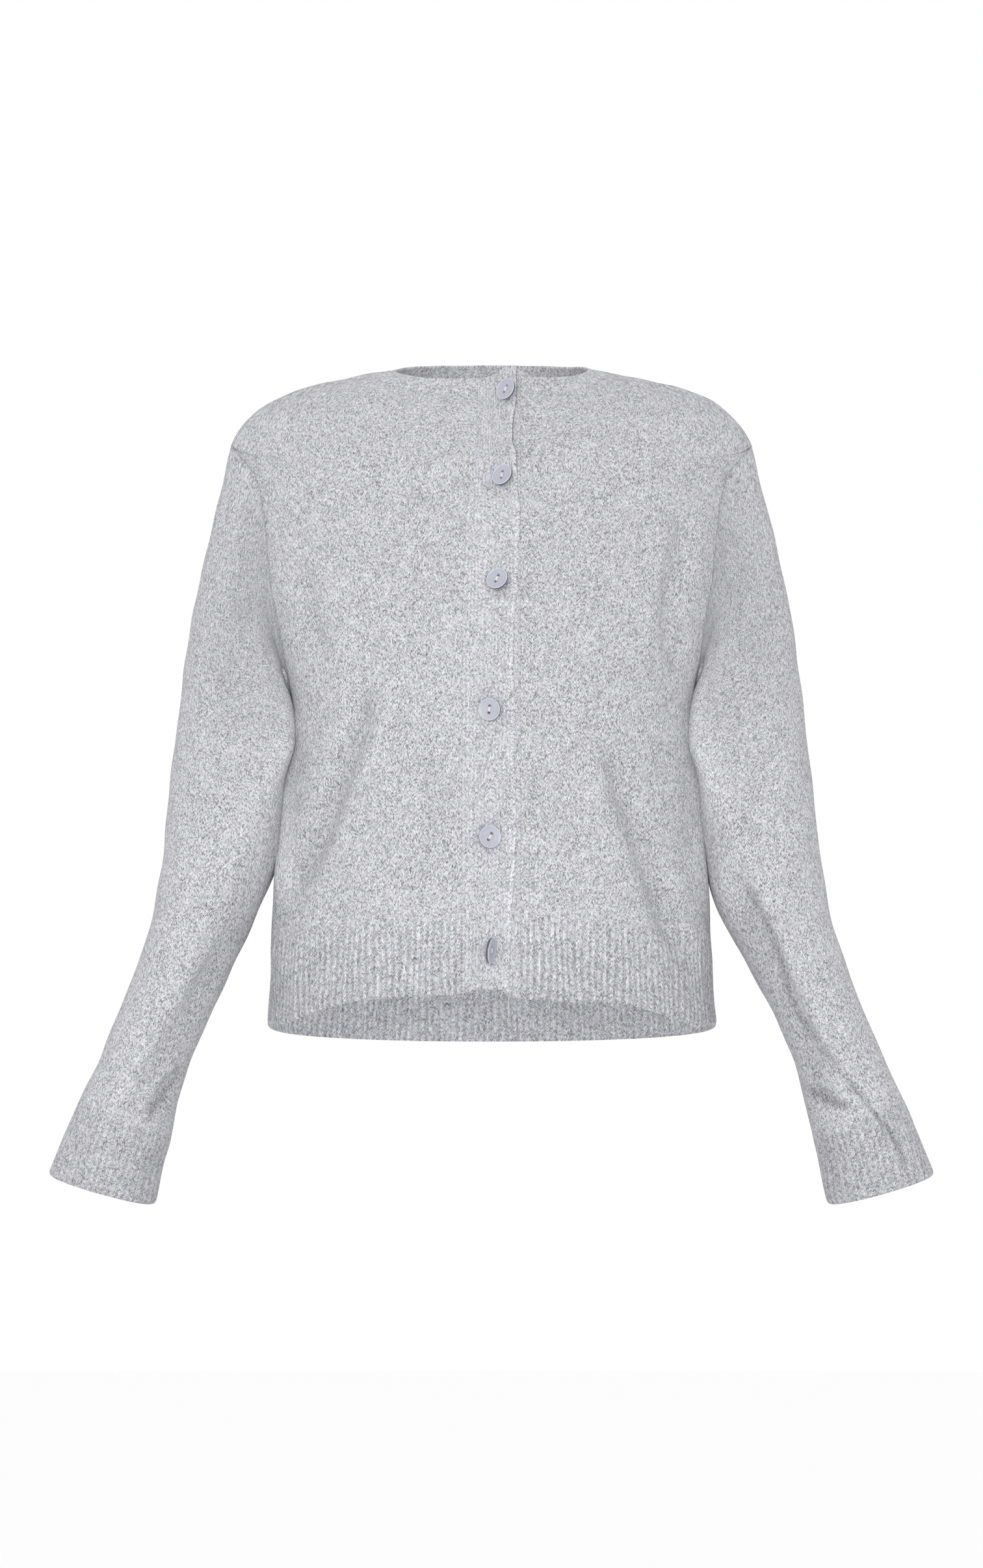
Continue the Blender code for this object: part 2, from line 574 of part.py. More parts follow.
# ---- Bands down the front ----
def band_rows(rows, inset, right_of, columns, over):
    """From inset past the buttonhole band's seam to x = right_of(row)."""
    grid = []
    for v in rows:
        row = []
        for x in np.linspace(band_left(v) + inset, right_of(v), columns + 1):
            u = v - corner_drop(v, x) if over else v
            row.append(cloth(u, angle_at_x(u, x, -1), 1 if x >= 0 else -1, -1, over))
        grid.append(row)
    return grid


def band_right(v):
    """Where the buttonhole band's free edge is at row v."""
    places = dict(zip(EDGE_COLUMNS, zip(*BAND_EDGE)))
    return float(np.interp(TORSO_SECTIONS.at(v)["front_z"], places["z"], places["x"]))


def corner_drop(v, x):
    """How far the band's rounded top corner lies below a square one, in table rows."""
    near_top = smoothstep(v, ROW["neckline"], ROW["neck_top"])
    return CORNER_DROP * near_top * smoothstep(x, CORNER_START, BAND_RIGHT_EDGE)


def make_bands(panel_rows):
    top = ROW["neck_top"]
    rows = [0.0, 1.0, 2.0] + list(panel_rows[1:-1]) + [float(ROW["neckline"]), float(top)]
    columns = 2 * round((BAND_RIGHT_EDGE - BAND_LEFT_EDGE) / BAND_RIB_PITCH)
    outer = band_rows(rows, SEAM_GAP / 2, band_right, columns, True)
    inner = band_rows(rows, SEAM_GAP / 2, band_right, BAND_INNER_COLUMNS, True)
    ribbed("buttonhole_band", outer, inner, height=BAND_RIB_HEIGHT)
    under = band_rows(rows, BAND_TUCK, lambda v: PANEL_LEFT_START - SEAM_GAP / 2, UNDER_BAND_COLUMNS, False)
    wall("button_band", offset(under, 0.0), offset(under, -WALL), "marl_rib")


# ---- Neckband ----
def neck_rows(rows, count):
    """From the buttonhole band's seam round the back of the neck to the button band's seam."""
    grid = []
    for v in rows:
        right_first, right_last = side_angles(v, -1, right_start(v), 0.0)
        left_first, left_last = side_angles(v, -1, left_start(v), 0.0)
        spans = (
            (-1, -1, right_first, right_last),
            (-1, 1, math.pi / 2, 0.0),
            (1, 1, 0.0, math.pi / 2),
            (1, -1, left_last, left_first),
        )
        fine = []
        for side, face, first, last in spans:
            angles = np.linspace(first, last, NECK_SAMPLES)
            fine += [cloth(v, a, side, face, side < 0 and face < 0) for a in angles]
        points = np.array([p for p, _ in fine])
        lengths = np.concatenate([[0.0], np.cumsum(np.linalg.norm(np.diff(points, axis=0), axis=1))])
        wanted = np.linspace(0, lengths[-1], count + 1)
        place = [np.interp(wanted, lengths, points[:, k]) for k in range(3)]
        normals = np.array([n for _, n in fine])
        lean = [np.interp(wanted, lengths, normals[:, k]) for k in range(3)]
        grid.append([(p, unit(n)) for p, n in zip(np.transpose(place), np.transpose(lean))])
    return grid, lengths[-1]


def make_neckband():
    base = ROW["neckline"]
    rows = [base + seam_share(TORSO_SECTIONS, base, 1), base + 0.5, float(ROW["neck_top"])]
    _, length = neck_rows(rows[-1:], NECK_SAMPLES)
    outer, _ = neck_rows(rows, 2 * round(length / NECK_RIB_PITCH))
    inner, _ = neck_rows(rows, round(length / NECK_INNER_STEP))
    ribbed("neckband", outer, inner)


# ---- Sleeves ----
def armhole_loop(side):
    """(point, normal) round the armhole, from the shoulder tip down the front and up the back."""
    tip, armpit = ROW["shoulder_tip"], ROW["armpit"]
    loop = []
    for face, rows in ((-1, range(tip, armpit - 1, -1)), (1, range(armpit + 1, tip))):
        for v in rows:
            _, last = side_angles(float(v), face, 0.0, 0.0)
            loop.append(cloth(float(v), last, side, face, side < 0))
    return loop


def sleeve_ring(u, side, columns_cos, columns_sin):
    """One section of the sleeve, as a plain oval round its centre."""
    s = SLEEVE_SECTIONS[side].at(u)
    top, under = np.array((s["top_x"], 0, s["top_z"])), np.array((s["under_x"], 0, s["under_z"]))
    centre, half = (top + under) / 2, (top - under) / 2
    ring = []
    for cosine, sine in zip(columns_cos, columns_sin):
        depth = s["front"] if sine > 0 else s["back"]
        point = centre + half * cosine
        point[1] = s["centre_y"] - depth * sine
        point[0] -= LAP_SCALE * s["lap"] * max(sine, 0.0) ** 2 * max(-cosine, 0.0)
        point[2] -= s["dip"] * max(sine, 0.0)
        ring.append(point * (side, 1, 1))
    return np.array(ring), centre * (side, 1, 1) + (0, s["centre_y"], 0)


def angles_of(loop):
    """Cosine and sine of each loop point's place round the sleeve, from its height."""
    tip, armpit = SLEEVE[0][2], SLEEVE[0][4]
    cosines = np.array([np.clip((2 * p[2] - tip - armpit) / (tip - armpit), -1, 1) for p, _ in loop])
    half = (len(loop) - 2) // 2 + 1
    signs = np.array([1.0 if i <= half else -1.0 for i in range(len(loop))])
    return cosines, signs * np.sqrt(1 - cosines**2)


def loop_outward(loop):
    """For each loop point, the direction in the cloth that leads off the armhole's edge."""
    points = np.array([p for p, _ in loop])
    middle = points.mean(0)
    along = np.roll(points, -1, 0) - np.roll(points, 1, 0)
    found = []
    for i, (point, normal) in enumerate(loop):
        off = unit(np.cross(along[i], normal))
        found.append(off if off @ (middle - point) > 0 else -off)
    return np.array(found)


def sleeve_grids(side, stations, folds):
    """Outer points and normals of the sleeve at the given stations. Station 0 is the armhole's own edge."""
    loop = armhole_loop(side)
    cosines, sines = angles_of(loop)
    edge = np.array([p for p, _ in loop])
    plain_edge, _ = sleeve_ring(0.0, side, cosines, sines)
    outward = loop_outward(loop)
    step = 0.05

    def ring(u):
        oval, centre = sleeve_ring(u, side, cosines, sines)
        own = min(SLEEVE_SECTIONS[side].at(u)["own"], 1.0)
        return oval + (edge - plain_edge) * (1 - own), centre

    grid = []
    for u in stations:
        if u == 0:
            grid.append([(p + outward[i] * SEAM_GAP, n) for i, (p, n) in enumerate(loop)])
            continue
        points, centre = ring(u)
        down = ring(u + step)[0] - ring(u - step)[0]
        around = np.roll(points, -1, 0) - np.roll(points, 1, 0)
        normals = np.cross(around, down)
        normals /= np.linalg.norm(normals, axis=1)[:, None]
        if ((points - centre) * normals).sum() < 0:
            normals = -normals
        row = []
        for point, normal in zip(points, normals):
            row.append((point - normal * trough(point, normal[1], folds), normal))
        grid.append(row)
    return grid


def refined(row, count):
    """A closed ring resampled to count columns."""
    points = np.array([p for p, _ in row] + [row[0][0]])
    normals = np.array([n for _, n in row] + [row[0][1]])
    lengths = np.concatenate([[0.0], np.cumsum(np.linalg.norm(np.diff(points, axis=0), axis=1))])
    wanted = np.linspace(0, lengths[-1], count, endpoint=False)
    place = np.transpose([np.interp(wanted, lengths, points[:, k]) for k in range(3)])
    lean = np.transpose([np.interp(wanted, lengths, normals[:, k]) for k in range(3)])
    return [(p, unit(n)) for p, n in zip(place, lean)]


def make_sleeve(side, name, cuff_name, folds):
    top = STATION["cuff_top"]
    above = seam_share(SLEEVE_SECTIONS[side], top, -1, "under_x", "under_z")
    below = seam_share(SLEEVE_SECTIONS[side], top, 1, "under_x", "under_z")
    stations = [float(u) for u in range(top)]
    grid = sleeve_grids(side, stations + [top - above], folds)
    wall(name, offset(grid, 0.0), offset(grid, -WALL), "marl_knit", closed=True)
    stations = [top + below, float(STATION["cuff_middle"]), float(STATION["cuff_edge"])]
    cuff = sleeve_grids(side, stations, folds)
    points = np.array([p for p, _ in cuff[-1]])
    length = np.linalg.norm(points - np.roll(points, 1, 0), axis=1).sum()
    ribs = 2 * round(length / CUFF_RIB_PITCH)
    ribbed(cuff_name, [refined(row, ribs) for row in cuff], cuff, closed=True)


# ---- Buttons ----
def make_button(name, x, z, tilt, towards, holes, radius):
    """A round two-hole button, turned from its profile, tilted off the band as the thread lets it."""
    profile = (
        (0.0, 0.0),
        (radius * 0.88, 0.0),
        (radius, BUTTON_THICKNESS * 0.45),
        (radius * 0.95, BUTTON_THICKNESS),
        (radius * 0.84, BUTTON_THICKNESS * 0.86),
        (0.0, BUTTON_THICKNESS * 0.76),
    )
    points = [(0.0, 0.0, profile[0][1])]
    for reach, height in profile[1:-1]:
        for i in range(BUTTON_SEGMENTS):
            turn = 2 * math.pi * i / BUTTON_SEGMENTS
            points.append((reach * math.cos(turn), reach * math.sin(turn), height))
    points.append((0.0, 0.0, profile[-1][1]))
    last = len(points) - 1
    faces = []
    for i in range(BUTTON_SEGMENTS):
        j = (i + 1) % BUTTON_SEGMENTS
        faces.append((0, 1 + j, 1 + i))
        for ring in range(len(profile) - 3):
            a, b = 1 + ring * BUTTON_SEGMENTS, 1 + (ring + 1) * BUTTON_SEGMENTS
            faces.append((a + i, a + j, b + j, b + i))
        faces.append((last, last - BUTTON_SEGMENTS + i, last - BUTTON_SEGMENTS + j))
    button = solid(name, np.array(points) * MM, faces, "button")
    for sign in (-1, 1):
        cutter = hole_cutter(f"{name}_hole_{'a' if sign < 0 else 'b'}", sign * BUTTON_HOLE_SPACING / 2)
        cutter.parent = button
        cut = button.modifiers.new("hole", "BOOLEAN")
        cut.operation = "DIFFERENCE"
        cut.object = cutter
    place_button(button, x, z, tilt, towards, holes, radius)


def hole_cutter(name, along):
    bpy.ops.mesh.primitive_cylinder_add(
        vertices=8,
        radius=BUTTON_HOLE_RADIUS * MM,
        depth=4 * BUTTON_THICKNESS * MM,
        location=(along * MM, 0, 0),
    )
    cutter = bpy.context.object
    cutter.name = name
    cutter.hide_render = True
    cutter.display_type = "WIRE"
    return cutter


def place_button(button, x, z, tilt, towards, holes, radius):
    v = band_row_at(z, x)
    surface, normal = cloth(v, angle_at_x(v, x, -1), 1 if x >= 0 else -1, -1, True)
    lean, way = math.radians(tilt), math.radians(towards)
    forward, right, up = np.array((0, -1, 0)), np.array((1, 0, 0)), np.array((0, 0, 1))
    face = forward * math.cos(lean) + (right * math.cos(way) + up * math.sin(way)) * math.sin(lean)
    line = right * math.cos(math.radians(holes)) + up * math.sin(math.radians(holes))
    line = unit(line - forward * (line @ face) / (forward @ face))
    other = np.cross(face, line)
    clear = BAND_RIB_HEIGHT + BUTTON_CLEARANCE + radius * math.sqrt(1 - (face @ normal) ** 2)
    place = (surface + normal * clear) * MM
    matrix = np.eye(4)
    matrix[:3, 0], matrix[:3, 1], matrix[:3, 2], matrix[:3, 3] = line, other, face, place
    button.matrix_world = Matrix(matrix.tolist())


def band_row_at(z, x):
    """The fractional table row whose surface is at height z, x from the centre front."""
    rows = np.linspace(0, ROW["neck_top"], 20 * ROW["neck_top"])
    heights = [torso_point(v, angle_at_x(v, x, -1), 1, -1)[2] for v in rows]
    return float(np.interp(z, heights, rows))


def main():
    for obj in list(bpy.data.objects):
        bpy.data.objects.remove(obj)
    rows = make_panels()
    make_hem()
    make_bands(rows)
    make_neckband()
    make_sleeve(-1, "sleeve_right", "cuff_right", RIGHT_SLEEVE_FOLDS)
    make_sleeve(1, "sleeve_left", "cuff_left", LEFT_SLEEVE_FOLDS)
    for number, row in enumerate(BUTTONS, 1):
        make_button(f"button_{number}", **dict(zip(BUTTON_COLUMNS, row)))


main()
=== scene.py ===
"""The looks of the button cardigan: fine marl knit, ribbed trims, six two-hole buttons and a plain studio.

The cloth repeats the construction of the solids at a finer step, with more folds, raised ribs and rounded
edges. Tables are in millimetres, front towards -Y, the wearer's right side at -X.
"""

import math

import bmesh
import bpy
import numpy as np
from mathutils import Matrix, Vector


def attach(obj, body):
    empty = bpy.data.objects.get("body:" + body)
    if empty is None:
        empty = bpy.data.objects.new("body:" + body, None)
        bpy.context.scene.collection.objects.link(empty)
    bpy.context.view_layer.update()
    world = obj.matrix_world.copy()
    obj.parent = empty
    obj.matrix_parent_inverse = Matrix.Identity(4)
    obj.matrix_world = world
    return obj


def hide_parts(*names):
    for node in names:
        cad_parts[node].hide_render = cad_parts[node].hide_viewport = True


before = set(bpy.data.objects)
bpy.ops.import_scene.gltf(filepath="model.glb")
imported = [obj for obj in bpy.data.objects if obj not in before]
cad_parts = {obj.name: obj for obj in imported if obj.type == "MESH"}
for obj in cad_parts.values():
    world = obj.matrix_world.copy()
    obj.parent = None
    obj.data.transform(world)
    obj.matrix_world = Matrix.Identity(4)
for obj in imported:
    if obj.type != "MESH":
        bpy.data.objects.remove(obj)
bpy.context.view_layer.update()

MM = 0.001

# ---- Driving dimensions, in millimetres, as in the solids ----
WALL = 2.4
RIB_WALL = 2.2
RIB_PITCH = 5.6
CUFF_RIB_PITCH = 5.2
NECK_RIB_PITCH = 5.4
LAYER_GAP = 0.7
BAND_RIB_HEIGHT = 0.6
BAND_RIGHT_EDGE = 18.0
PANEL_LEFT_START = 23.0
OVERLAP_FADE_X = -85.0
BAND_LEFT_EDGE = -23.0
BAND_NARROWS_BY = 12.0
BAND_TUCK = 6.0
BAND_CURL = 3.0
CORNER_START = 12.0
CORNER_DROP = 0.12  # of the band's top corner, in rows of the torso's table
NECK_PEAK = 9.5
NECK_PEAK_X = 15.5
NECK_PEAK_WIDTH = 12.0
CURL_START = -12.0
LAP_SCALE = 2.6
PINCH_POWER = 8
FOLD_FACING_GAIN = 1.6
BUTTON_THICKNESS = 2.8
BUTTON_HOLE_RADIUS = 1.3
BUTTON_HOLE_SPACING = 5.2
BUTTON_CLEARANCE = 0.5

# ---- Detail that only the looks have ----
STEP = 2.6  # spacing of the cloth's points
EDGE_STEP = 0.6  # spacing next to a seam or an edge
EDGE_GROWTH = 1.5
POINTS_PER_RIB = 8
RIM_RINGS = 3  # points round an edge, between its outside and its inside
SEAM = 0.25  # how far a rounded edge bulges at a seam
SEAM_FLUSH = 0.06  # at a join that the knit runs through
BOUND_OFF = 0.9  # at a free edge
PANEL_LIPS = (SEAM_FLUSH, SEAM, SEAM, SEAM)  # bottom, top, left and right of the fronts and the back
RIB_LOOK = 0.85  # height of a rib
NECK_RIB_LOOK = 0.35
CUFF_RIB_LOOK = 0.55
RIB_ROUNDNESS = 1.7
RIB_UNEVEN = 0.3
RIB_WANDER = 0.3  # by how much of its pitch a rib wanders
RIB_LIGHT = 0.75  # painted highlight: how much a rib's back is painted lighter, as a share of how much a valley is painted darker
INNER_RIB = 0.8  # the inside follows the ribs by this much
RIB_FADE = 16.0  # over this length the ribs grow out of the plain knit
FOLD_SHOULDER = 0.3  # height of the soft ridges beside a fold, as a share of its depth
FOLD_SHOULDER_WIDTH = 2.1
WALE = 2.0  # width of a stitch
COURSE = 1.6  # height of a stitch
LEG_SLANT = 0.85  # stitch heights between the two ends of a leg
EDGE_ROUND = 5.0  # over this length a free edge is drawn in
EDGE_DRAW = 1.6  # by how much at the edge itself

TORSO_COLUMNS = (
    "side_x", "side_z", "seam_y", "armhole", "front_y", "front_z",
    "back_y", "back_z", "square", "lean", "pinch",
)
TORSO = (
    ("hem", 183.1, -534.9, 5.0, 0.0, -111.5, -511.1, 104.0, -540.8, 0.9, 1.0, 0.0),
    ("hem_middle", 180.8, -499.1, 6.0, 0.0, -112.5, -479.3, 102.5, -505.1, 0.9, 2.0, 0.0),
    ("rib_top", 178.6, -463.3, 7.0, 0.0, -113.5, -447.3, 100.5, -469.3, 0.9, 3.0, 0.0),
    ("belly_low", 176.8, -430.3, 9.0, 0.0, -115.0, -418.3, 99.0, -435.3, 0.9, 4.0, 0.0),
    ("belly", 174.8, -400.3, 11.0, 0.0, -116.5, -390.7, 98.5, -404.8, 0.9, 5.0, 0.0),
    ("waist", 172.8, -370.2, 13.0, 0.0, -118.0, -363.1, 99.0, -374.3, 0.9, 6.0, 0.5),
    ("ribs_low", 169.5, -340.0, 14.5, 0.0, -119.8, -335.9, 100.5, -343.6, 0.9, 8.0, 3.0),
    ("ribs_high", 164.8, -311.8, 15.0, 0.0, -121.0, -310.6, 102.5, -314.9, 0.9, 8.0, 7.5),
    ("armpit", 161.0, -280.4, 15.0, 0.0, -121.7, -290.9, 104.5, -292.7, 0.9, 0.0, 13.0),
    ("armhole_1", 161.2, -278.1, 15.0, 11.4, -121.8, -288.4, 104.7, -290.7, 0.9, -3.0, 12.8),
    ("armhole_2", 162.0, -271.6, 14.8, 21.0, -122.0, -282.3, 105.2, -283.7, 0.9, -5.0, 12.0),
    ("armhole_3", 164.0, -258.8, 14.5, 32.0, -122.3, -270.1, 106.2, -270.5, 0.9, -6.0, 10.0),
    ("armhole_4", 167.9, -238.9, 14.0, 42.0, -122.5, -252.9, 107.5, -249.8, 0.9, -6.0, 7.0),
    ("armhole_5", 172.9, -212.4, 13.5, 50.0, -122.0, -229.5, 109.0, -222.9, 0.9, -4.0, 4.0),
    ("armhole_6", 177.7, -185.9, 13.0, 54.0, -120.0, -205.1, 110.0, -193.4, 0.9, -1.0, 2.0),
    ("armhole_7", 182.0, -157.3, 12.5, 55.0, -115.5, -179.6, 110.0, -162.9, 0.91, 3.0, 1.0),
    ("armhole_8", 185.4, -128.7, 12.0, 52.0, -109.5, -155.0, 108.5, -133.2, 0.93, 9.0, 0.0),
    ("armhole_9", 188.8, -103.0, 11.0, 46.0, -102.5, -132.5, 105.5, -105.6, 0.97, 17.0, 0.0),
    ("armhole_10", 195.5, -81.5, 10.0, 37.0, -96.0, -114.1, 101.5, -82.0, 1.02, 26.0, 0.0),
    ("armhole_11", 207.6, -64.0, 9.0, 24.0, -90.5, -99.2, 97.5, -63.0, 1.07, 35.0, 0.0),
    ("armhole_12", 214.2, -54.4, 8.0, 11.4, -88.0, -91.5, 95.5, -53.7, 1.09, 40.0, 0.0),
    ("shoulder_tip", 217.0, -50.5, 8.0, 0.0, -87.0, -87.0, 94.8, -48.5, 1.1, 43.0, 0.0),
    ("shoulder_1", 210.5, -36.6, 7.5, 0.0, -84.5, -77.8, 92.5, -36.8, 1.12, 50.0, 0.0),
    ("shoulder_2", 199.5, -24.2, 7.0, 0.0, -82.0, -68.5, 90.5, -24.9, 1.12, 57.0, 0.0),
    ("shoulder_3", 183.0, -11.6, 6.0, 0.0, -80.0, -59.6, 88.5, -14.6, 1.09, 65.0, 0.0),
    ("shoulder_4", 158.5, -1.9, 4.5, 0.0, -78.5, -48.3, 87.0, -2.7, 1.05, 74.0, 0.0),
    ("shoulder_5", 128.0, 4.6, 3.0, 0.0, -77.0, -35.9, 85.5, 9.2, 1.02, 79.0, 0.0),
    ("neckline", 97.5, 11.4, 2.0, 0.0, -75.0, -26.8, 83.5, 20.6, 1.0, 77.0, 0.0),
    ("neck_top", 81.0, 14.3, 2.0, 0.0, -68.0, -13.0, 77.0, 34.6, 1.0, 77.0, 0.0),
)
ROW = {row[0]: i for i, row in enumerate(TORSO)}

SLEEVE_COLUMNS = ("top_x", "top_z", "under_x", "under_z", "centre_y", "front", "back", "own", "dip", "lap")
SLEEVE = (
    ("armhole", 217.0, -50.5, 161.0, -280.4, 12.0, 55.0, 55.0, 0.0, 0.0, 0.0),
    ("cap_1", 222.1, -71.9, 162.4, -275.3, 12.0, 54.0, 55.0, 0.22, 0.0, 0.0),
    ("cap_2", 228.6, -100.0, 164.6, -276.0, 10.5, 54.5, 55.0, 0.45, 0.0, 4.0),
    ("cap_3", 235.6, -133.7, 164.9, -280.6, 6.5, 55.0, 55.0, 0.68, 0.0, 9.0),
    ("cap_4", 243.3, -172.8, 164.1, -289.1, 0.0, 55.5, 55.0, 0.86, 0.0, 15.0),
    ("upper_1", 249.6, -213.8, 163.8, -300.2, -8.0, 55.5, 55.0, 1.0, 0.0, 19.0),
    ("upper_2", 253.8, -255.8, 164.4, -315.1, -18.0, 54.5, 54.0, 1.0, 0.0, 20.0),
    ("upper_3", 257.3, -296.4, 166.0, -334.4, -28.0, 53.0, 52.5, 1.0, 0.0, 13.0),
    ("elbow_1", 260.8, -336.4, 167.4, -358.3, -36.0, 51.0, 51.0, 1.0, 0.0, 5.0),
    ("elbow_2", 263.6, -374.6, 170.6, -394.4, -40.0, 49.0, 49.0, 1.0, 0.0, 0.0),
    ("elbow_3", 268.0, -413.4, 187.9, -440.0, -42.0, 47.0, 47.0, 1.0, 0.0, 0.0),
    ("forearm_1", 275.3, -453.0, 206.7, -483.5, -44.0, 44.5, 44.5, 1.0, 0.0, 0.0),
    ("forearm_2", 288.2, -494.4, 224.8, -523.7, -46.0, 42.0, 42.0, 1.0, 0.0, 0.0),
    ("forearm_3", 303.4, -535.6, 242.8, -567.7, -48.0, 40.0, 40.0, 1.0, 0.0, 0.0),
    ("wrist", 313.5, -560.0, 249.6, -593.0, -49.0, 37.0, 37.0, 1.0, 1.0, 0.0),
    ("cuff_top", 325.7, -587.3, 255.2, -618.3, -50.0, 34.0, 34.0, 1.0, 2.0, 0.0),
    ("cuff_middle", 339.0, -618.3, 262.0, -647.4, -51.0, 31.5, 31.5, 1.0, 3.0, 0.0),
    ("cuff_edge", 353.2, -654.3, 268.6, -678.4, -52.0, 30.0, 30.0, 1.0, 4.0, 0.0),
)
STATION = {row[0]: i for i, row in enumerate(SLEEVE)}
LEFT_UNDER_SHIFT = {"elbow_3": -6.5, "forearm_1": -2.0}

# Folds, as troughs along lines in the front (side -1) or back (side 1) view. The ends fade out over fade mm.
FOLD_COLUMNS = ("side", "depth", "width", "fade", "line")
TORSO_FOLDS = (
    (-1, 8.0, 10.0, 50.0, ((-98, -246), (-106, -301), (-121, -343), (-142, -397), (-164, -446))),
    (-1, 8.5, 10.0, 50.0, ((85, -301), (106, -356), (126, -413), (146, -465), (168, -494))),
    (-1, 4.0, 9.0, 25.0, ((-148, -165), (-145, -196), (-142, -225), (-136, -250))),
    (-1, 5.5, 9.0, 25.0, ((141, -112), (154, -127), (156, -140), (149, -165), (144, -215), (150, -262))),
    (-1, 2.5, 12.0, 60.0, ((-34, -293), (-44, -346), (-49, -397), (-59, -449))),
    (-1, 2.0, 12.0, 40.0, ((54, -343), (59, -388), (54, -428))),
    (1, 5.0, 10.0, 50.0, ((-92, -235), (-112, -320), (-138, -395), (-160, -440))),
    (1, 5.0, 10.0, 50.0, ((95, -250), (113, -330), (133, -390), (165, -452))),
    (1, 4.0, 8.0, 35.0, ((-152, -150), (-146, -200), (-150, -258))),
    (1, 4.0, 8.0, 35.0, ((150, -140), (145, -205), (150, -262))),
    (1, 2.5, 14.0, 60.0, ((-18, -300), (-30, -380), (-26, -455))),
)
RIGHT_SLEEVE_FOLDS = (
    (-1, 5.5, 8.0, 40.0, ((-203, -455), (-235, -515), (-266, -568), (-293, -614))),
    (-1, 5.0, 6.0, 12.0, ((-250, -572), (-262, -592), (-274, -612))),
    (-1, 2.5, 14.0, 40.0, ((-238, -205), (-205, -262), (-182, -310))),
    (1, 4.0, 10.0, 40.0, ((-262, -350), (-225, -400), (-190, -432))),
    (1, 3.5, 9.0, 40.0, ((-215, -500), (-255, -560), (-300, -606))),
)
LEFT_SLEEVE_FOLDS = (
    (-1, 6.0, 10.0, 40.0, ((188, -400), (214, -468), (243, -530), (272, -600))),
    (-1, 5.0, 6.0, 12.0, ((248, -583), (262, -592), (280, -606))),
    (-1, 2.5, 12.0, 40.0, ((236, -190), (214, -250), (186, -312))),
    (1, 4.0, 10.0, 40.0, ((264, -362), (228, -405), (192, -440))),
    (1, 3.5, 9.0, 40.0, ((220, -508), (258, -566), (300, -612))),
)
# Thin lines pressed into the sleeves, two in the left one and one in the right one.
CREASES = (
    (-1, 1.3, 2.8, 25.0, ((196, -414), (225, -469), (243, -525), (271, -567), (317, -625), (330, -660))),
    (-1, 1.8, 3.0, 9.0, ((244, -580), (264, -595), (288, -604))),
    (-1, 1.4, 3.0, 9.0, ((-246, -566), (-260, -590), (-274, -612))),
)

# The buttonhole band's free edge wanders a little.
BAND_EDGE = (  # z, x
    (-512.0, 12.0), (-466.0, 14.5), (-439.0, 15.5), (-414.0, 18.2), (-391.0, 19.0), (-353.0, 17.7),
    (-322.0, 16.5), (-300.0, 17.8), (-276.0, 17.5), (-255.0, 16.0), (-210.0, 17.5), (-188.0, 20.3),
    (-171.0, 20.0), (-142.0, 21.7), (-126.0, 22.0), (-112.0, 20.1), (-79.0, 18.5), (-68.0, 15.4),
    (-53.0, 15.8), (-38.0, 18.4), (-23.0, 18.5),
)

# The front hem's edge, below an even one.
HEM_DROP_RIGHT = (  # x, drop
    (-183.0, 0.0), (-172.0, 8.0), (-164.0, 10.0), (-143.0, 6.6), (-125.0, 5.0), (-107.0, 3.8),
    (-30.0, 4.0), (-13.0, 0.3), (18.0, -0.5),
)
HEM_DROP_LEFT = (  # x, drop
    (-20.0, -3.0), (4.0, -3.0), (14.0, 5.0), (26.0, 7.4), (61.0, 8.4), (90.0, 6.6),
    (110.0, 6.2), (130.0, 9.1), (151.0, 12.0), (168.0, 13.0), (183.0, 0.0),
)

BUTTON_COLUMNS = ("x", "z", "tilt", "towards", "holes", "radius")
BUTTONS = (
    (11.8, -33.7, 40.2, 164.2, 66.0, 9.0),
    (9.1, -100.7, 35.3, 150.6, 79.0, 9.0),
    (5.0, -187.4, 27.4, 141.0, 67.0, 9.0),
    (-1.1, -290.8, 19.4, 201.7, 83.0, 9.0),
    (-1.7, -391.4, 15.4, 345.4, 63.0, 9.0),
    (-1.8, -481.4, 73.6, 351.7, 87.0, 10.3),
)


# ---- Smooth interpolation of a table ----
def slopes_of(values):
    """Slopes at a table's rows that never overshoot them."""
    steps = np.diff(values)
    slopes = np.zeros(len(values))
    same_way = steps[:-1] * steps[1:] > 0
    sums = np.where(same_way, steps[:-1] + steps[1:], 1.0)
    slopes[1:-1] = np.where(same_way, 2 * steps[:-1] * steps[1:] / sums, 0.0)
    slopes[0], slopes[-1] = steps[0], steps[-1]
    return slopes


class Sections:
    """A table of sections, read at fractional rows.

    An armhole's depth is read as a square, so that it ends round."""

    def __init__(self, table, columns):
        self.values = np.array([row[1:] for row in table], float)
        self.columns = columns
        if "armhole" in columns:
            self.values[:, columns.index("armhole")] **= 2
        self.slopes = np.array([slopes_of(column) for column in self.values.T]).T
        self.last = len(table) - 1

    def at(self, v):
        v = np.clip(np.asarray(v, float), 0.0, self.last)
        i = np.minimum(v.astype(int), self.last - 1)
        t = (v - i)[..., None]
        mixed = (
            (2 * t**3 - 3 * t**2 + 1) * self.values[i]
            + (t**3 - 2 * t**2 + t) * self.slopes[i]
            + (3 * t**2 - 2 * t**3) * self.values[i + 1]
            + (t**3 - t**2) * self.slopes[i + 1]
        )
        found = {name: mixed[..., k] for k, name in enumerate(self.columns)}
        if "armhole" in found:
            found["armhole"] = np.sqrt(np.maximum(found["armhole"], 0.0))
        return found


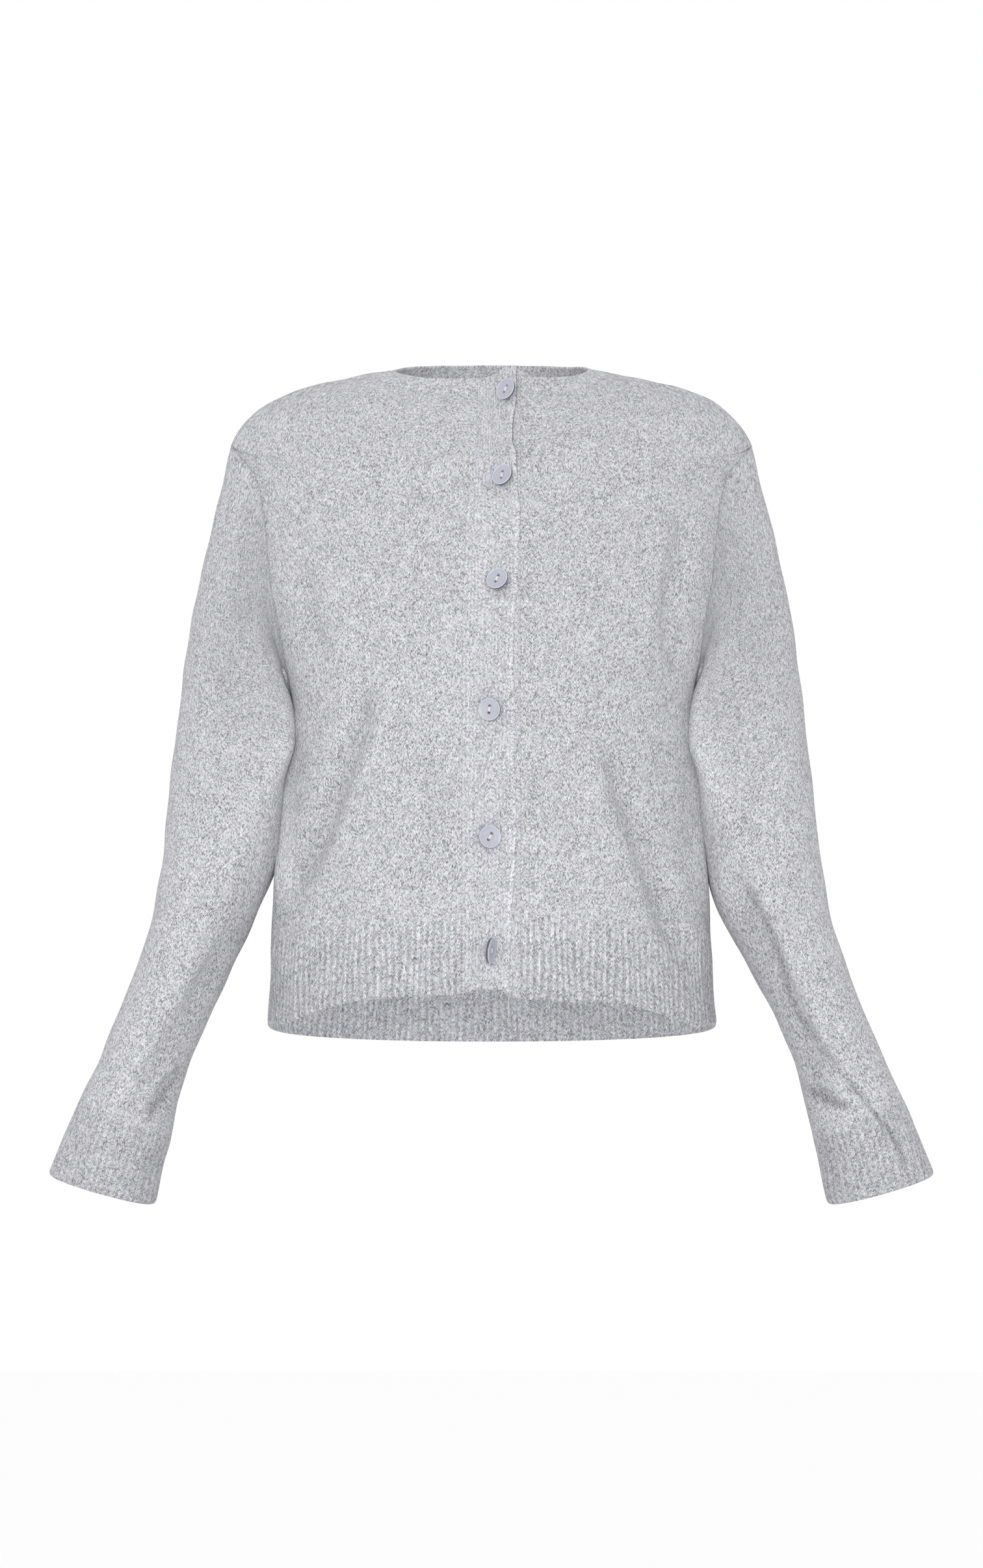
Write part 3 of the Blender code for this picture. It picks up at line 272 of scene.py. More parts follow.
TORSO_SECTIONS = Sections(TORSO, TORSO_COLUMNS)
SLEEVE_SECTIONS = {
    -1: Sections(SLEEVE, SLEEVE_COLUMNS),
    1: Sections(
        [(*row[:3], row[3] + LEFT_UNDER_SHIFT.get(row[0], 0.0), *row[4:]) for row in SLEEVE], SLEEVE_COLUMNS
    ),
}


def smoothstep(x, low, high):
    t = np.clip((x - low) / (high - low), 0.0, 1.0)
    return t * t * (3 - 2 * t)


def window(x, low, full, fading, end):
    """Rises from 0 at low to 1 at full, and falls to 0 again from fading to end."""
    return smoothstep(x, low, full) * (1 - smoothstep(x, fading, end))


def unit(vectors):
    return vectors / np.linalg.norm(vectors, axis=-1, keepdims=True)


def stops(length, step=STEP):
    """Distances from 0 to length, step apart in the middle and finer towards both ends."""
    near = [0.0]
    gap = EDGE_STEP
    while gap < step:
        near.append(near[-1] + gap)
        gap *= EDGE_GROWTH
    middle = np.linspace(near[-1], length - near[-1], max(2, math.ceil((length - 2 * near[-1]) / step) + 1))
    return np.concatenate([near[:-1], middle, length - np.array(near[:-1])[::-1]])


def along(points):
    """Distance run at each point of a line, or of each row of a grid."""
    runs = np.linalg.norm(np.diff(points, axis=-2), axis=-1)
    return np.concatenate([np.zeros(runs.shape[:-1] + (1,)), np.cumsum(runs, axis=-1)], axis=-1)


# ---- The torso's surface ----
def quarter(v, face):
    """The row's section, its reach to the side and to the face, its centre's height and its last angle."""
    s = TORSO_SECTIONS.at(v)
    depth, centre_z = (s["front_y"], s["front_z"]) if face < 0 else (s["back_y"], s["back_z"])
    reach_y = depth - s["seam_y"]
    last = np.arccos((s["armhole"] / np.abs(reach_y)) ** (1 / s["square"]))
    pressed = s["pinch"] * np.sin(last) ** PINCH_POWER
    reach_x = (s["side_x"] + pressed) / np.sin(last) ** s["square"]
    return s, reach_x, reach_y, centre_z, last


def torso_point(v, angle, side, face):
    """Points of the plain outer surface. angle runs from the centre line round to the side."""
    s, reach_x, reach_y, centre_z, last = quarter(v, face)
    cosine, sine = np.maximum(np.cos(angle), 0.0), np.maximum(np.sin(angle), 0.0)
    fall = np.cos(np.pi / 2 * angle / last)
    x = side * (reach_x * sine ** s["square"] - s["pinch"] * sine**PINCH_POWER)
    y = s["seam_y"] + reach_y * cosine ** s["square"]
    z = s["side_z"] + (centre_z - s["side_z"]) * fall
    return np.stack(np.broadcast_arrays(x, y, z), -1)


def torso_normal(v, angle, side, face, step=0.05):
    """Outward directions of the plain surface."""
    s, reach_x, reach_y, _, _ = quarter(v, face)
    cosine, sine = np.maximum(np.cos(angle), 0.0), np.maximum(np.sin(angle), 0.0)
    power = 2 - s["square"]
    across, out = side * np.abs(reach_y) * sine**power, face * reach_x * cosine**power
    size = np.hypot(across, out)
    low, high = TORSO_SECTIONS.at(v - step), TORSO_SECTIONS.at(v + step)
    y, z = ("front_y", "front_z") if face < 0 else ("back_y", "back_z")
    centre_lean = np.arctan2(face * (low[y] - high[y]), high[z] - low[z])
    share = cosine**2
    lean = share * centre_lean + (1 - share) * np.radians(s["lean"])
    level = np.cos(lean)
    return np.stack(np.broadcast_arrays(across / size * level, out / size * level, np.sin(lean)), -1)


def angle_at_x(v, x, face):
    """The angle at which the plain surface is x mm from the centre line."""
    s, reach_x, _, _, _ = quarter(v, face)
    return np.arcsin(np.minimum((np.abs(x) / reach_x) ** (1 / s["square"]), 1.0))


def band_left(v):
    """The seam between the wearer's right front and the buttonhole band."""
    return BAND_LEFT_EDGE + BAND_NARROWS_BY * smoothstep(v, ROW["armhole_4"], ROW["neckline"])


def band_right(v):
    """Where the buttonhole band's free edge is at row v."""
    return np.interp(TORSO_SECTIONS.at(v)["front_z"], *zip(*BAND_EDGE))


# ---- Folds and soft unevenness ----
def smooth_line(line, count=8):
    """A Catmull-Rom curve through the points of a fold's line."""
    p = np.array(line, float)
    p = np.concatenate([[2 * p[0] - p[1]], p, [2 * p[-1] - p[-2]]])
    t = np.linspace(0, 1, count, endpoint=False)[:, None]
    spans = []
    for a, b, c, d in zip(p[:-3], p[1:-2], p[2:-1], p[3:]):
        spans.append(
            0.5 * (2 * b + (c - a) * t + (2 * a - 5 * b + 4 * c - d) * t**2 + (3 * b - a - 3 * c + d) * t**3)
        )
    return np.concatenate(spans + [p[-2:-1]])


def trough(points, facing, folds):
    """How far the folds push the cloth in, with soft ridges beside them.

    facing is how far the cloth faces forwards (-1) or backwards (1)."""
    total = np.zeros(points.shape[:-1])
    here = points[..., (0, 2)]
    for row in folds:
        fold = dict(zip(FOLD_COLUMNS, row))
        line = smooth_line(fold["line"])
        lengths = along(line)
        nearest = np.full(total.shape, np.inf)
        done = np.zeros(total.shape)
        for i, (start, end) in enumerate(zip(line[:-1], line[1:])):
            run = end - start
            share = np.clip(((here - start) @ run) / (run @ run), 0, 1)
            away = np.linalg.norm(here - start - share[..., None] * run, axis=-1)
            closer = away < nearest
            nearest = np.where(closer, away, nearest)
            done = np.where(closer, lengths[i] + share * (lengths[i + 1] - lengths[i]), done)
        ends = smoothstep(np.minimum(done, lengths[-1] - done), 0, fold["fade"])
        turned = np.clip(facing * fold["side"] * FOLD_FACING_GAIN, 0, 1)
        distance = nearest / fold["width"]
        profile = np.exp(-(distance**2)) * (1 + FOLD_SHOULDER)
        profile -= FOLD_SHOULDER * np.exp(-((distance / FOLD_SHOULDER_WIDTH) ** 2))
        total += fold["depth"] * ends * turned * profile
    return total


WAVES = np.random.default_rng(11).uniform(-1, 1, (14, 4))  # direction in x, y, z and phase of each soft wave
WAVE_DEPTH = 0.22
WAVE_SHORTEST, WAVE_LONGEST = 28.0, 110.0


def unevenness(points):
    """Low, wide waves of a soft knit."""
    total = np.zeros(points.shape[:-1])
    lengths = np.geomspace(WAVE_SHORTEST, WAVE_LONGEST, len(WAVES))
    for (x, y, z, phase), length in zip(WAVES, lengths):
        direction = unit(np.array((x, y, z)))
        wave = np.sin(points @ direction * 2 * np.pi / length + phase * np.pi)
        total += wave * math.sqrt(length / WAVE_LONGEST)
    return total * WAVE_DEPTH


# ---- What lies over the button band ----
GAPES = (0.9, 0.2, 0.3, 0.1, 0.2)  # how far the band's free edge stands off between each two buttons
DIMPLE_DEPTH = 0.9
DIMPLE_RADIUS = 11.0


def overlap_lift(v, points):
    """How far the buttonhole band and what is beside it lie off the plain surface."""
    x, z = points[..., 0], points[..., 2]
    over = (RIB_WALL + LAYER_GAP) * smoothstep(x, OVERLAP_FADE_X, band_left(v))
    curl = BAND_CURL * smoothstep(v, ROW["armhole_7"], ROW["shoulder_1"])
    lift = over + curl * smoothstep(x, band_left(v) + CURL_START, BAND_RIGHT_EDGE)
    for upper, lower, gape in zip(BUTTONS[:-1], BUTTONS[1:], GAPES):
        between = np.clip((upper[1] - z) / (upper[1] - lower[1]), 0, 1)
        lift += gape * np.sin(np.pi * between) ** 2 * smoothstep(x, 0, BAND_RIGHT_EDGE)
    for row in BUTTONS:
        away = np.hypot(x - row[0], z - row[1])
        lift -= DIMPLE_DEPTH * np.exp(-((away / DIMPLE_RADIUS) ** 2))
    return lift


UNDER_RISE = 2.6
UNDER_RISE_X = (-1.5, 1.5, 6.0, 60.0)  # from the band's edge: begins, is full, fades and ends


def under_lift(v, points):
    """How far the left front swells beside the buttonhole band's free edge."""
    past = points[..., 0] - band_right(v)
    return UNDER_RISE * window(past, *UNDER_RISE_X) * (points[..., 1] < 0)


SWELL = 0.7  # share of the way that the front swells out to a flat corner beside the hanging sleeve
SWELL_X = (112.0, 160.0)
SWELL_Y = (-92.0, -70.0)  # the flat corner's depth from first to last
SWELL_END_X = 174.0
SWELL_ROUND = 26.0  # over this depth it comes forwards from the side seam
SWELL_Z = (-520.0, -420.0, -200.0, -120.0)  # it begins and is full, then fades and ends
LIGHTER = 0.6  # how much paler the knit is painted there, against the shadow in the narrow gap
LIGHTER_X = (152.0, 174.0)
LIGHTER_Z = (-450.0, -400.0, -330.0, -258.0)


def side_tone(points):
    """The front's shade beside a sleeve: paler, to offset the shadow in the gap between them."""
    away = smoothstep(np.abs(points[..., 0]), *LIGHTER_X)
    return -LIGHTER * away * window(points[..., 2], *LIGHTER_Z) * (points[..., 1] < 0)


def hem_drop(x, over):
    """How far the front hem hangs below an even one."""
    return np.interp(x, *zip(*(HEM_DROP_RIGHT if over else HEM_DROP_LEFT)))


def neck_peak(x):
    """How far the top button pulls the neck's edge up."""
    return NECK_PEAK * np.exp(-(((x - NECK_PEAK_X) / NECK_PEAK_WIDTH) ** 2))


def cloth(v, angle, side, face, over=False):
    """Outer points and normals of the finished cloth in mm. over lays it on top of the button band."""
    points = torso_point(v, angle, side, face)
    normals = torso_normal(v, angle, side, face)
    lift = overlap_lift(v, points) if over else under_lift(v, points)
    lift = lift + unevenness(points) - trough(points, normals[..., 1], TORSO_FOLDS)
    moved = points + normals * lift[..., None]
    if face < 0:
        beside = smoothstep(np.abs(points[..., 0]), *SWELL_X) * window(points[..., 2], *SWELL_Z)
        before_seam = TORSO_SECTIONS.at(v)["seam_y"] - points[..., 1]
        behind = points[..., 1] - np.interp(np.abs(points[..., 0]), (SWELL_X[0], SWELL_END_X), SWELL_Y)
        moved[..., 1] -= SWELL * np.maximum(behind, 0) * beside * smoothstep(before_seam, 0, SWELL_ROUND)
        moved[..., 2] -= hem_drop(points[..., 0], over) * (1 - smoothstep(v, ROW["hem"], ROW["rib_top"]))
        moved[..., 2] += neck_peak(points[..., 0]) * smoothstep(v, ROW["shoulder_3"], ROW["neckline"])
    return moved, normals


# ---- Closed shells from grids ----
def placed(name, data):
    """An object in the scene that holds the data."""
    obj = bpy.data.objects.new(name, data)
    bpy.context.scene.collection.objects.link(obj)
    return obj


def shell(name, outer, inner, u, v, lips, material, closed=False, shade=0.0):
    """A closed thin solid between two grids of points in mm, with rounded edges.

    u and v are the cloth's own coordinates in mm: across the wales and along them. lips gives how far the
    bottom, top, left and right edges bulge. closed joins each row's last column to its first. shade is the
    painted shade: by what share the knit is painted darker at each point, or painted lighter where it is
    below 0."""
    rows, columns = outer.shape[:2]
    wide = columns + 1 if closed else columns
    r, c = np.meshgrid(np.arange(rows), np.arange(wide), indexing="ij")
    point_ids = r * columns + c % columns
    place = np.stack(np.broadcast_arrays(u, v), -1).reshape(rows, wide, 2)
    count = rows * columns
    faces, face_places = [], []

    def strip(ids_a, ids_b, place_a, place_b):
        ids = [ids_a[..., :-1], ids_a[..., 1:], ids_b[..., 1:], ids_b[..., :-1]]
        faces.append(np.stack(ids, -1).reshape(-1, 4))
        corners = [place_a[..., :-1, :], place_a[..., 1:, :], place_b[..., 1:, :], place_b[..., :-1, :]]
        face_places.append(np.stack(corners, -2).reshape(-1, 4, 2))

    strip(point_ids[:-1], point_ids[1:], place[:-1], place[1:])
    strip(point_ids[1:] + count, point_ids[:-1] + count, place[1:], place[:-1])

    out = np.zeros_like(outer)
    out[0] += unit(outer[0] - outer[1])
    out[-1] += unit(outer[-1] - outer[-2])
    bulge = np.zeros((rows, columns))
    if not closed:
        out[:, 0] += unit(outer[:, 0] - outer[:, 1])
        out[:, -1] += unit(outer[:, -1] - outer[:, -2])
        bulge[:, 0], bulge[:, -1] = lips[2:]
    bulge[0], bulge[-1] = lips[:2]
    out_flat, bulge_flat = out.reshape(-1, 3), bulge.reshape(-1, 1)
    outer_flat, inner_flat = outer.reshape(-1, 3), inner.reshape(-1, 3)
    points = [outer_flat, inner_flat]
    shade = np.broadcast_to(shade, (rows, columns)).ravel()
    shades = [shade, shade]
    if closed:
        loops = [(r[0], c[0]), (r[-1, ::-1], c[-1, ::-1])]
    else:
        around_r = np.concatenate([r[0], r[1:, -1], r[-1, -2::-1], r[-2::-1, 0]])
        around_c = np.concatenate([c[0], c[1:, -1], c[-1, -2::-1], c[-2::-1, 0]])
        loops = [(around_r, around_c)]
    for loop_r, loop_c in loops:
        ids, where = point_ids[loop_r, loop_c], place[loop_r, loop_c]
        unique = ids[:-1]
        middle = (outer_flat[unique] + inner_flat[unique]) / 2
        half = (outer_flat[unique] - inner_flat[unique]) / 2
        away = unit(out_flat[unique]) * bulge_flat[unique]
        rings = [ids]
        for turn in np.linspace(0, np.pi, RIM_RINGS + 2)[1:-1]:
            start = sum(len(part) for part in points)
            points.append(middle + half * math.cos(turn) + away * math.sin(turn))
            shades.append(shade[unique])
            ring = start + np.arange(len(unique))
            rings.append(np.append(ring, ring[0]))
        rings.append(ids + count)
        for a, b in zip(rings[:-1], rings[1:]):
            strip(a[::-1], b[::-1], where[::-1], where[::-1])
    obj = solid(name, np.concatenate(points), np.concatenate(faces), np.concatenate(face_places), material)
    painted = obj.data.attributes.new("shade", "FLOAT", "POINT")
    painted.data.foreach_set("value", np.concatenate(shades).astype(np.float32))
    return obj


def solid(name, points, faces, places, material):
    """A mesh object from points in mm, turned so that its faces look outwards."""
    a, b, c = points[faces[:, 0]], points[faces[:, 1]], points[faces[:, 2]]
    d = points[faces[:, 3]]
    volume = (a * np.cross(b, c)).sum() + (a * np.cross(c, d)).sum()
    if volume < 0:
        faces, places = faces[:, ::-1], places[:, ::-1]
    mesh = bpy.data.meshes.new(name)
    mesh.from_pydata(points * MM, [], faces)
    mesh.uv_layers.new(name="wales").data.foreach_set("uv", (places * MM).astype(np.float32).ravel())
    mesh.materials.append(material)
    mesh.shade_smooth()
    return placed(name, mesh)


def normals_of(points, closed=False):
    """Directions square to a grid of points."""
    if closed:
        around = np.roll(points, -1, 1) - np.roll(points, 1, 1)
    else:
        around = np.gradient(points, axis=1)
    return unit(np.cross(around, np.gradient(points, axis=0)))


# ---- Materials ----
class Graph:
    """The node tree of one material, with short calls for the nodes that the materials need."""

    def __init__(self, name):
        self.material = bpy.data.materials.new(name)
        self.material.use_nodes = True
        self.tree = self.material.node_tree
        self.shader = self.tree.nodes["Principled BSDF"]

    def node(self, kind, inputs=(), **settings):
        made = self.tree.nodes.new(kind)
        for key, value in settings.items():
            setattr(made, key, value)
        for key, value in dict(inputs).items():
            self.feed(made.inputs[key], value)
        return made

    def feed(self, socket, value):
        if isinstance(value, bpy.types.NodeSocket):
            self.tree.links.new(value, socket)
        else:
            socket.default_value = value

    def math(self, operation, *values):
        return self.node("ShaderNodeMath", dict(enumerate(values)), operation=operation).outputs[0]

    def vector(self, operation, *values, **named):
        inputs = dict(enumerate(values)) | named
        return self.node("ShaderNodeVectorMath", inputs, operation=operation).outputs[0]

    def noise(self, vector, scale, detail, **more):
        inputs = {"Vector": vector, "Scale": scale, "Detail": detail} | more
        return self.node("ShaderNodeTexNoise", inputs).outputs

    def ease(self, value, low, high, first=0.0, last=1.0):
        """Goes smoothly from first to last as the value goes from low to high."""
        limits = {"Value": value, "From Min": low, "From Max": high, "To Min": first, "To Max": last}
        return self.node("ShaderNodeMapRange", limits, interpolation_type="SMOOTHSTEP").outputs[0]

    def ramp(self, value, first, last):
        made = self.node("ShaderNodeValToRGB", {"Fac": value})
        for element, colour in zip(made.color_ramp.elements, (first, last)):
            element.color = (*colour, 1)
        return made.outputs[0]

    def set(self, **inputs):
        for key, value in inputs.items():
            self.feed(self.shader.inputs[key.replace("_", " ")], value)


# By how much each kind of unevenness lightens or darkens the yarn.
FIBRE_SPREAD = 1.0
STITCH_SPREAD = 0.88
RIB_STITCH_SPREAD = 0.7
DARK_LEGS = 0.26  # how much darker the darkest stitch legs are
MOTTLE_SPREAD = 0.48
PATCH_SPREAD = 0.3
TINT_SPREAD = 0.06
SPECK_SHADE = 0.15  # of the darkest fibres
GAP_SHADE = 0.4  # between stitches
GROOVE_SHADE = 0.27  # between ribs, for each mm of their height
SEAM_SHADE = 0.16  # along a seam
FOLD_SHADE = 0.014  # for each mm that a fold is deep
SEAM_SHADE_WIDTH = 1.8
EDGE_LIGHT = 0.13  # painted light on the band's free edge, against the shadow of its step
EDGE_LIGHT_WIDTH = 3.5
STRAY = 0.4  # mm by which stitches wander
STRAY_SCALE = 240.0  # scales of noise are per metre, or per stitch leg for what follows the yarn
LEG_END = 0.4  # a leg's height at its ends, as a share of the height at its middle
MEAN_HEIGHT = 0.62  # of the stitches
DARK_LEG_POWER = 4.0  # a higher one leaves fewer dark legs
FIBRE_SCALE = (1.9, 1.2)  # across and along a leg
TINT_SCALE = 0.45
SPECK_SCALE = 0.8
SPECK_PLACE = 5.0  # sets the specks apart from the fibres
SPECK_RANGE = (0.56, 0.72)
STREAK_SCALE = (190.0, 520.0, 1.0)
PATCH_SCALE = 45.0
MIDDLE_GREY = (0.5, 0.5, 0.5)
FUZZ = 0.5  # how much the fibres add to the stitches' height


def knit(name, colour, bump, stitch_spread=STITCH_SPREAD):
    """Heathered stockinette: slanting stitch legs, a shade for each leg, fibre streaks and soft mottling.

    bump is the stitches' height in mm. The points' shade is laid over it all."""
    g = Graph(name)
    flat = g.node("ShaderNodeUVMap", uv_map="wales").outputs["UV"]
    wander = g.vector("SUBTRACT", g.noise(flat, STRAY_SCALE, 2.0)["Color"], MIDDLE_GREY)
    wander = g.vector("SCALE", wander, Scale=4 * STRAY * MM)
    parts = g.node("ShaderNodeSeparateXYZ", {"Vector": g.vector("ADD", flat, wander)})
    legs = g.math("DIVIDE", parts.outputs["X"], WALE * MM / 2)
    wale = g.math("FRACT", g.math("DIVIDE", parts.outputs["X"], WALE * MM))
    from_middle = g.math("ABSOLUTE", g.math("SUBTRACT", wale, 0.5))
    courses = g.math("DIVIDE", parts.outputs["Y"], COURSE * MM)
    slanted = g.math("SUBTRACT", courses, g.math("MULTIPLY", from_middle, 2 * LEG_SLANT))

    def dome(value):
        centred = g.math("MULTIPLY_ADD", g.math("FRACT", value), 2.0, -1.0)
        return g.math("SUBTRACT", 1.0, g.math("MULTIPLY", centred, centred))

    bulge = g.math("MULTIPLY_ADD", dome(slanted), 1 - LEG_END, LEG_END)
    height = g.math("MULTIPLY", g.math("SQRT", dome(legs)), bulge)

    halves = g.math("FLOOR", g.math("MULTIPLY", slanted, 2.0))
    leg = g.node("ShaderNodeCombineXYZ", {"X": g.math("FLOOR", legs), "Y": halves})
    shade = g.node("ShaderNodeTexWhiteNoise", {"Vector": leg.outputs[0]}, noise_dimensions="2D")
    shade = shade.outputs["Value"]
    fibres = [g.math("MULTIPLY", place, scale) for place, scale in zip((legs, slanted), FIBRE_SCALE)]
    yarn = g.node("ShaderNodeCombineXYZ", dict(zip("XY", fibres))).outputs[0]
    fibre = g.noise(yarn, 1.0, 3.0, Roughness=0.75)[0]
    streaks = g.node("ShaderNodeMapping", {"Vector": flat, "Scale": STREAK_SCALE}).outputs[0]
    mottle = g.noise(streaks, 1.0, 2.0, Roughness=0.6)[0]
    patch = g.noise(flat, PATCH_SCALE, 3.0, Roughness=0.6)[0]

    level = g.math("POWER", shade, DARK_LEG_POWER)
    level = g.math("MULTIPLY_ADD", level, -DARK_LEGS, 1 + DARK_LEGS / (DARK_LEG_POWER + 1))
    sources = (fibre, shade, mottle, patch)
    spreads = (FIBRE_SPREAD, -stitch_spread, MOTTLE_SPREAD, PATCH_SPREAD)
    for source, spread in zip(sources, spreads):
        level = g.math("ADD", level, g.math("MULTIPLY_ADD", source, spread, -spread / 2))
    elsewhere = {"Vector": yarn, "Scale": SPECK_SCALE, "Detail": 1.0, "W": SPECK_PLACE}
    speck = g.node("ShaderNodeTexNoise", elsewhere, noise_dimensions="4D").outputs[0]
    level = g.math("ADD", level, g.ease(speck, *SPECK_RANGE, 0.0, -SPECK_SHADE))
    level = g.math("MULTIPLY", level, g.math("MULTIPLY_ADD", height, GAP_SHADE, 1 - MEAN_HEIGHT * GAP_SHADE))
    painted = g.node("ShaderNodeAttribute", attribute_name="shade").outputs["Fac"]
    level = g.math("MULTIPLY", level, g.math("SUBTRACT", 1.0, painted))
    hue = g.vector("SUBTRACT", g.noise(yarn, TINT_SCALE, 2.0)["Color"], MIDDLE_GREY)
    hue = g.vector("SCALE", hue, Scale=TINT_SPREAD)
    mixed = g.vector("ADD", g.vector("SCALE", colour, Scale=level), hue)
    fuzz = g.math("MULTIPLY_ADD", fibre, FUZZ, height)
    relief = g.node("ShaderNodeBump", {"Strength": 1.0, "Distance": bump * MM, "Height": fuzz})
    g.set(Base_Color=mixed, Normal=relief.outputs[0])
    g.set(Roughness=0.95, Specular_IOR_Level=0.2, Sheen_Weight=0.18, Sheen_Roughness=0.6)
    return g.material


BUTTON_FACE = ((0.3, 0.31, 0.365), (0.36, 0.372, 0.43))
# painted highlight on the lip
BUTTON_LIP_HIGHLIGHT = (0.49, 0.5, 0.54, 1)
# painted shade on the side wall
BUTTON_SIDE_SHADE = (0.07, 0.06, 0.085, 1)
LIP_START = (0.88, 0.94)  # shares of the radius
LIP_HEIGHT = (0.88, 0.97)  # shares of the thickness
SIDE_START = (0.86, 0.9)
SIDE_HEIGHT = (0.72, 0.86)
CLOUD_SCALE = 260.0  # per metre, as are the next two
GRAIN_SCALE = 2600.0
TWIST_SCALE = 2400.0
BUTTON_ROUGHNESS = (0.12, 0.28)  # what the grain adds, and the least


def button_finish():
    """Satin lilac-grey plastic with a faint pearly cloud, a painted highlight on its lip and painted shade
    on its side.
    """
    g = Graph("button_satin")
    coordinates = g.node("ShaderNodeTexCoord")
    place, share = coordinates.outputs["Object"], coordinates.outputs["Generated"]
    face = g.ramp(g.noise(place, CLOUD_SCALE, 3.0, Distortion=0.6)[0], *BUTTON_FACE)
    centred = g.vector("SUBTRACT", share, (0.5, 0.5, 0.0))
    flat = g.vector("MULTIPLY", centred, (2.0, 2.0, 0.0))
    reach = g.node("ShaderNodeVectorMath", {0: flat}, operation="LENGTH").outputs["Value"]
    height = g.node("ShaderNodeSeparateXYZ", {"Vector": share}).outputs["Z"]

    def mixed(share, first, second):
        node = g.node("ShaderNodeMix", data_type="RGBA")
        for key, value in (("Factor", share), ("A", first), ("B", second)):
            sockets = [socket for socket in node.inputs if socket.name == key and socket.enabled]
            g.feed(sockets[0], value)
        return [socket for socket in node.outputs if socket.enabled][0]

    # painted highlight on the lip, and painted shade on the low side wall
    lip_highlight = g.math("MULTIPLY", g.ease(reach, *LIP_START), g.ease(height, *LIP_HEIGHT))
    low = g.math("SUBTRACT", 1.0, g.ease(height, *SIDE_HEIGHT))
    side = g.math("MULTIPLY", low, g.ease(reach, *SIDE_START))
    colour = mixed(side, mixed(lip_highlight, face, BUTTON_LIP_HIGHLIGHT), BUTTON_SIDE_SHADE)
    grain = g.noise(place, GRAIN_SCALE, 2.0)[0]
    rough = g.math("MULTIPLY_ADD", grain, *BUTTON_ROUGHNESS)
    relief = g.node("ShaderNodeBump", {"Strength": 0.15, "Distance": 0.1 * MM, "Height": grain})
    g.set(Base_Color=colour, Roughness=rough, Normal=relief.outputs[0])
    g.set(Coat_Weight=0.25, Coat_Roughness=0.25)
    return g.material


THREAD_COLOURS = ((0.5, 0.48, 0.45), (0.68, 0.66, 0.62))


def thread_finish():
    """Cream sewing thread with a fine twist."""
    g = Graph("cream_thread")
    place = g.node("ShaderNodeTexCoord").outputs["Object"]
    twist = g.noise(place, TWIST_SCALE, 2.0)[0]
    relief = g.node("ShaderNodeBump", {"Strength": 0.6, "Distance": 0.1 * MM, "Height": twist})
    g.set(Base_Color=g.ramp(twist, *THREAD_COLOURS), Normal=relief.outputs[0], Roughness=0.8)
    return g.material


KNIT = knit("marl_stockinette", colour=(0.462, 0.462, 0.487), bump=0.45)
RIB = knit("marl_ribbing", colour=(0.422, 0.422, 0.449), bump=0.3, stitch_spread=RIB_STITCH_SPREAD)
FINISHES = {"knit": KNIT, "rib": RIB}  # by the name that a piece gives for its yarn
BUTTON = button_finish()
THREAD = thread_finish()


# ---- Placing pieces ----
def ringed(grid):
    """The grid with its first column once more at its end."""
    return np.concatenate([grid, grid[:, :1]], 1)


def flat_size(points, closed=False):
    """Width, length and area in metres of the cloth that a grid of points stands for."""
    grid = ringed(points) if closed else points
    widths = along(grid)[:, -1]
    length = along(grid.transpose(1, 0, 2))[:, -1].max()
    a, b, c, d = grid[:-1, :-1], grid[:-1, 1:], grid[1:, 1:], grid[1:, :-1]
    area = np.linalg.norm(np.cross(c - a, d - b), axis=-1).sum() / 2
    return widths.max() * MM, length * MM, area * MM * MM


def dress(obj, node, points, closed=False):
    """The piece stands for its solid and rides with it; the size of its sheet is worked out but not used."""
    width, length, area = flat_size(points, closed)
    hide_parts(node)
    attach(obj, "root")


# ---- Front, back and hem ----
HEM_DARKER = 0.07  # painted shade: how much darker the front hem's edge is painted
HEM_DARKER_RUN = 60.0  # over this length it fades out
RIB_WALES = 2  # columns of stitches in a rib with its valley
STEADY_RIBS = 3  # at each end, before the ribs wander fully
# Slow waves, by their radians for each rib across and for each mm or step along, and their start.
WANDER_WAVES = ((0.83, 0.05, 0.0), (0.31, -0.037, 0.8))
UNEVEN_WAVES = ((2.4, 0.11, 0.0), (-1.7, 0.047, 0.0), (0.61, 0.0, 0.5))
FINE_ROWS = np.linspace(0, ROW["neck_top"], 40 * ROW["neck_top"] + 1)
REFERENCE_ANGLE = 0.7  # distances up the torso are measured on a line part of the way round
TINY = 1e-6


def torso_rows(low, high):
    """Fractional rows and their distances up the torso, from row low to row high."""
    fine = FINE_ROWS[(FINE_ROWS > low) & (FINE_ROWS < high)]
    fine = np.concatenate([[low], fine, [high]])
    line = torso_point(fine, REFERENCE_ANGLE, 1, -1)
    run = along(line)
    wanted = stops(run[-1])
    start = along(torso_point(FINE_ROWS, REFERENCE_ANGLE, 1, -1))
    offset = np.interp(low, FINE_ROWS, start)
    return np.interp(wanted, run, fine), wanted + offset


def even_section(v, face, first_x, shares):
    """Angles at shares of the way from x = first_x to the side, and distances from the centre line."""
    samples = 160
    _, _, _, _, last = quarter(v, face)
    angles, distances = [], []
    for row, end in zip(v, last):
        fine = np.linspace(0, end, samples)
        run = along(torso_point(row, fine, 1, face))
        start = np.interp(angle_at_x(row, first_x(row), face), fine, run) if first_x else 0.0
        wanted = start + (run[-1] - start) * shares
        angles.append(np.interp(wanted, run, fine))
        distances.append(wanted)
    return np.array(angles), np.array(distances)


def mean_width(v, face, first_x):
    """How wide the middle row is, from x = first_x to the side."""
    _, distances = even_section(v[len(v) // 2 : len(v) // 2 + 1], face, first_x, np.array([0.0, 1.0]))
    return float(distances[0, 1] - distances[0, 0])


def right_start(v):
    return np.abs(band_left(v))


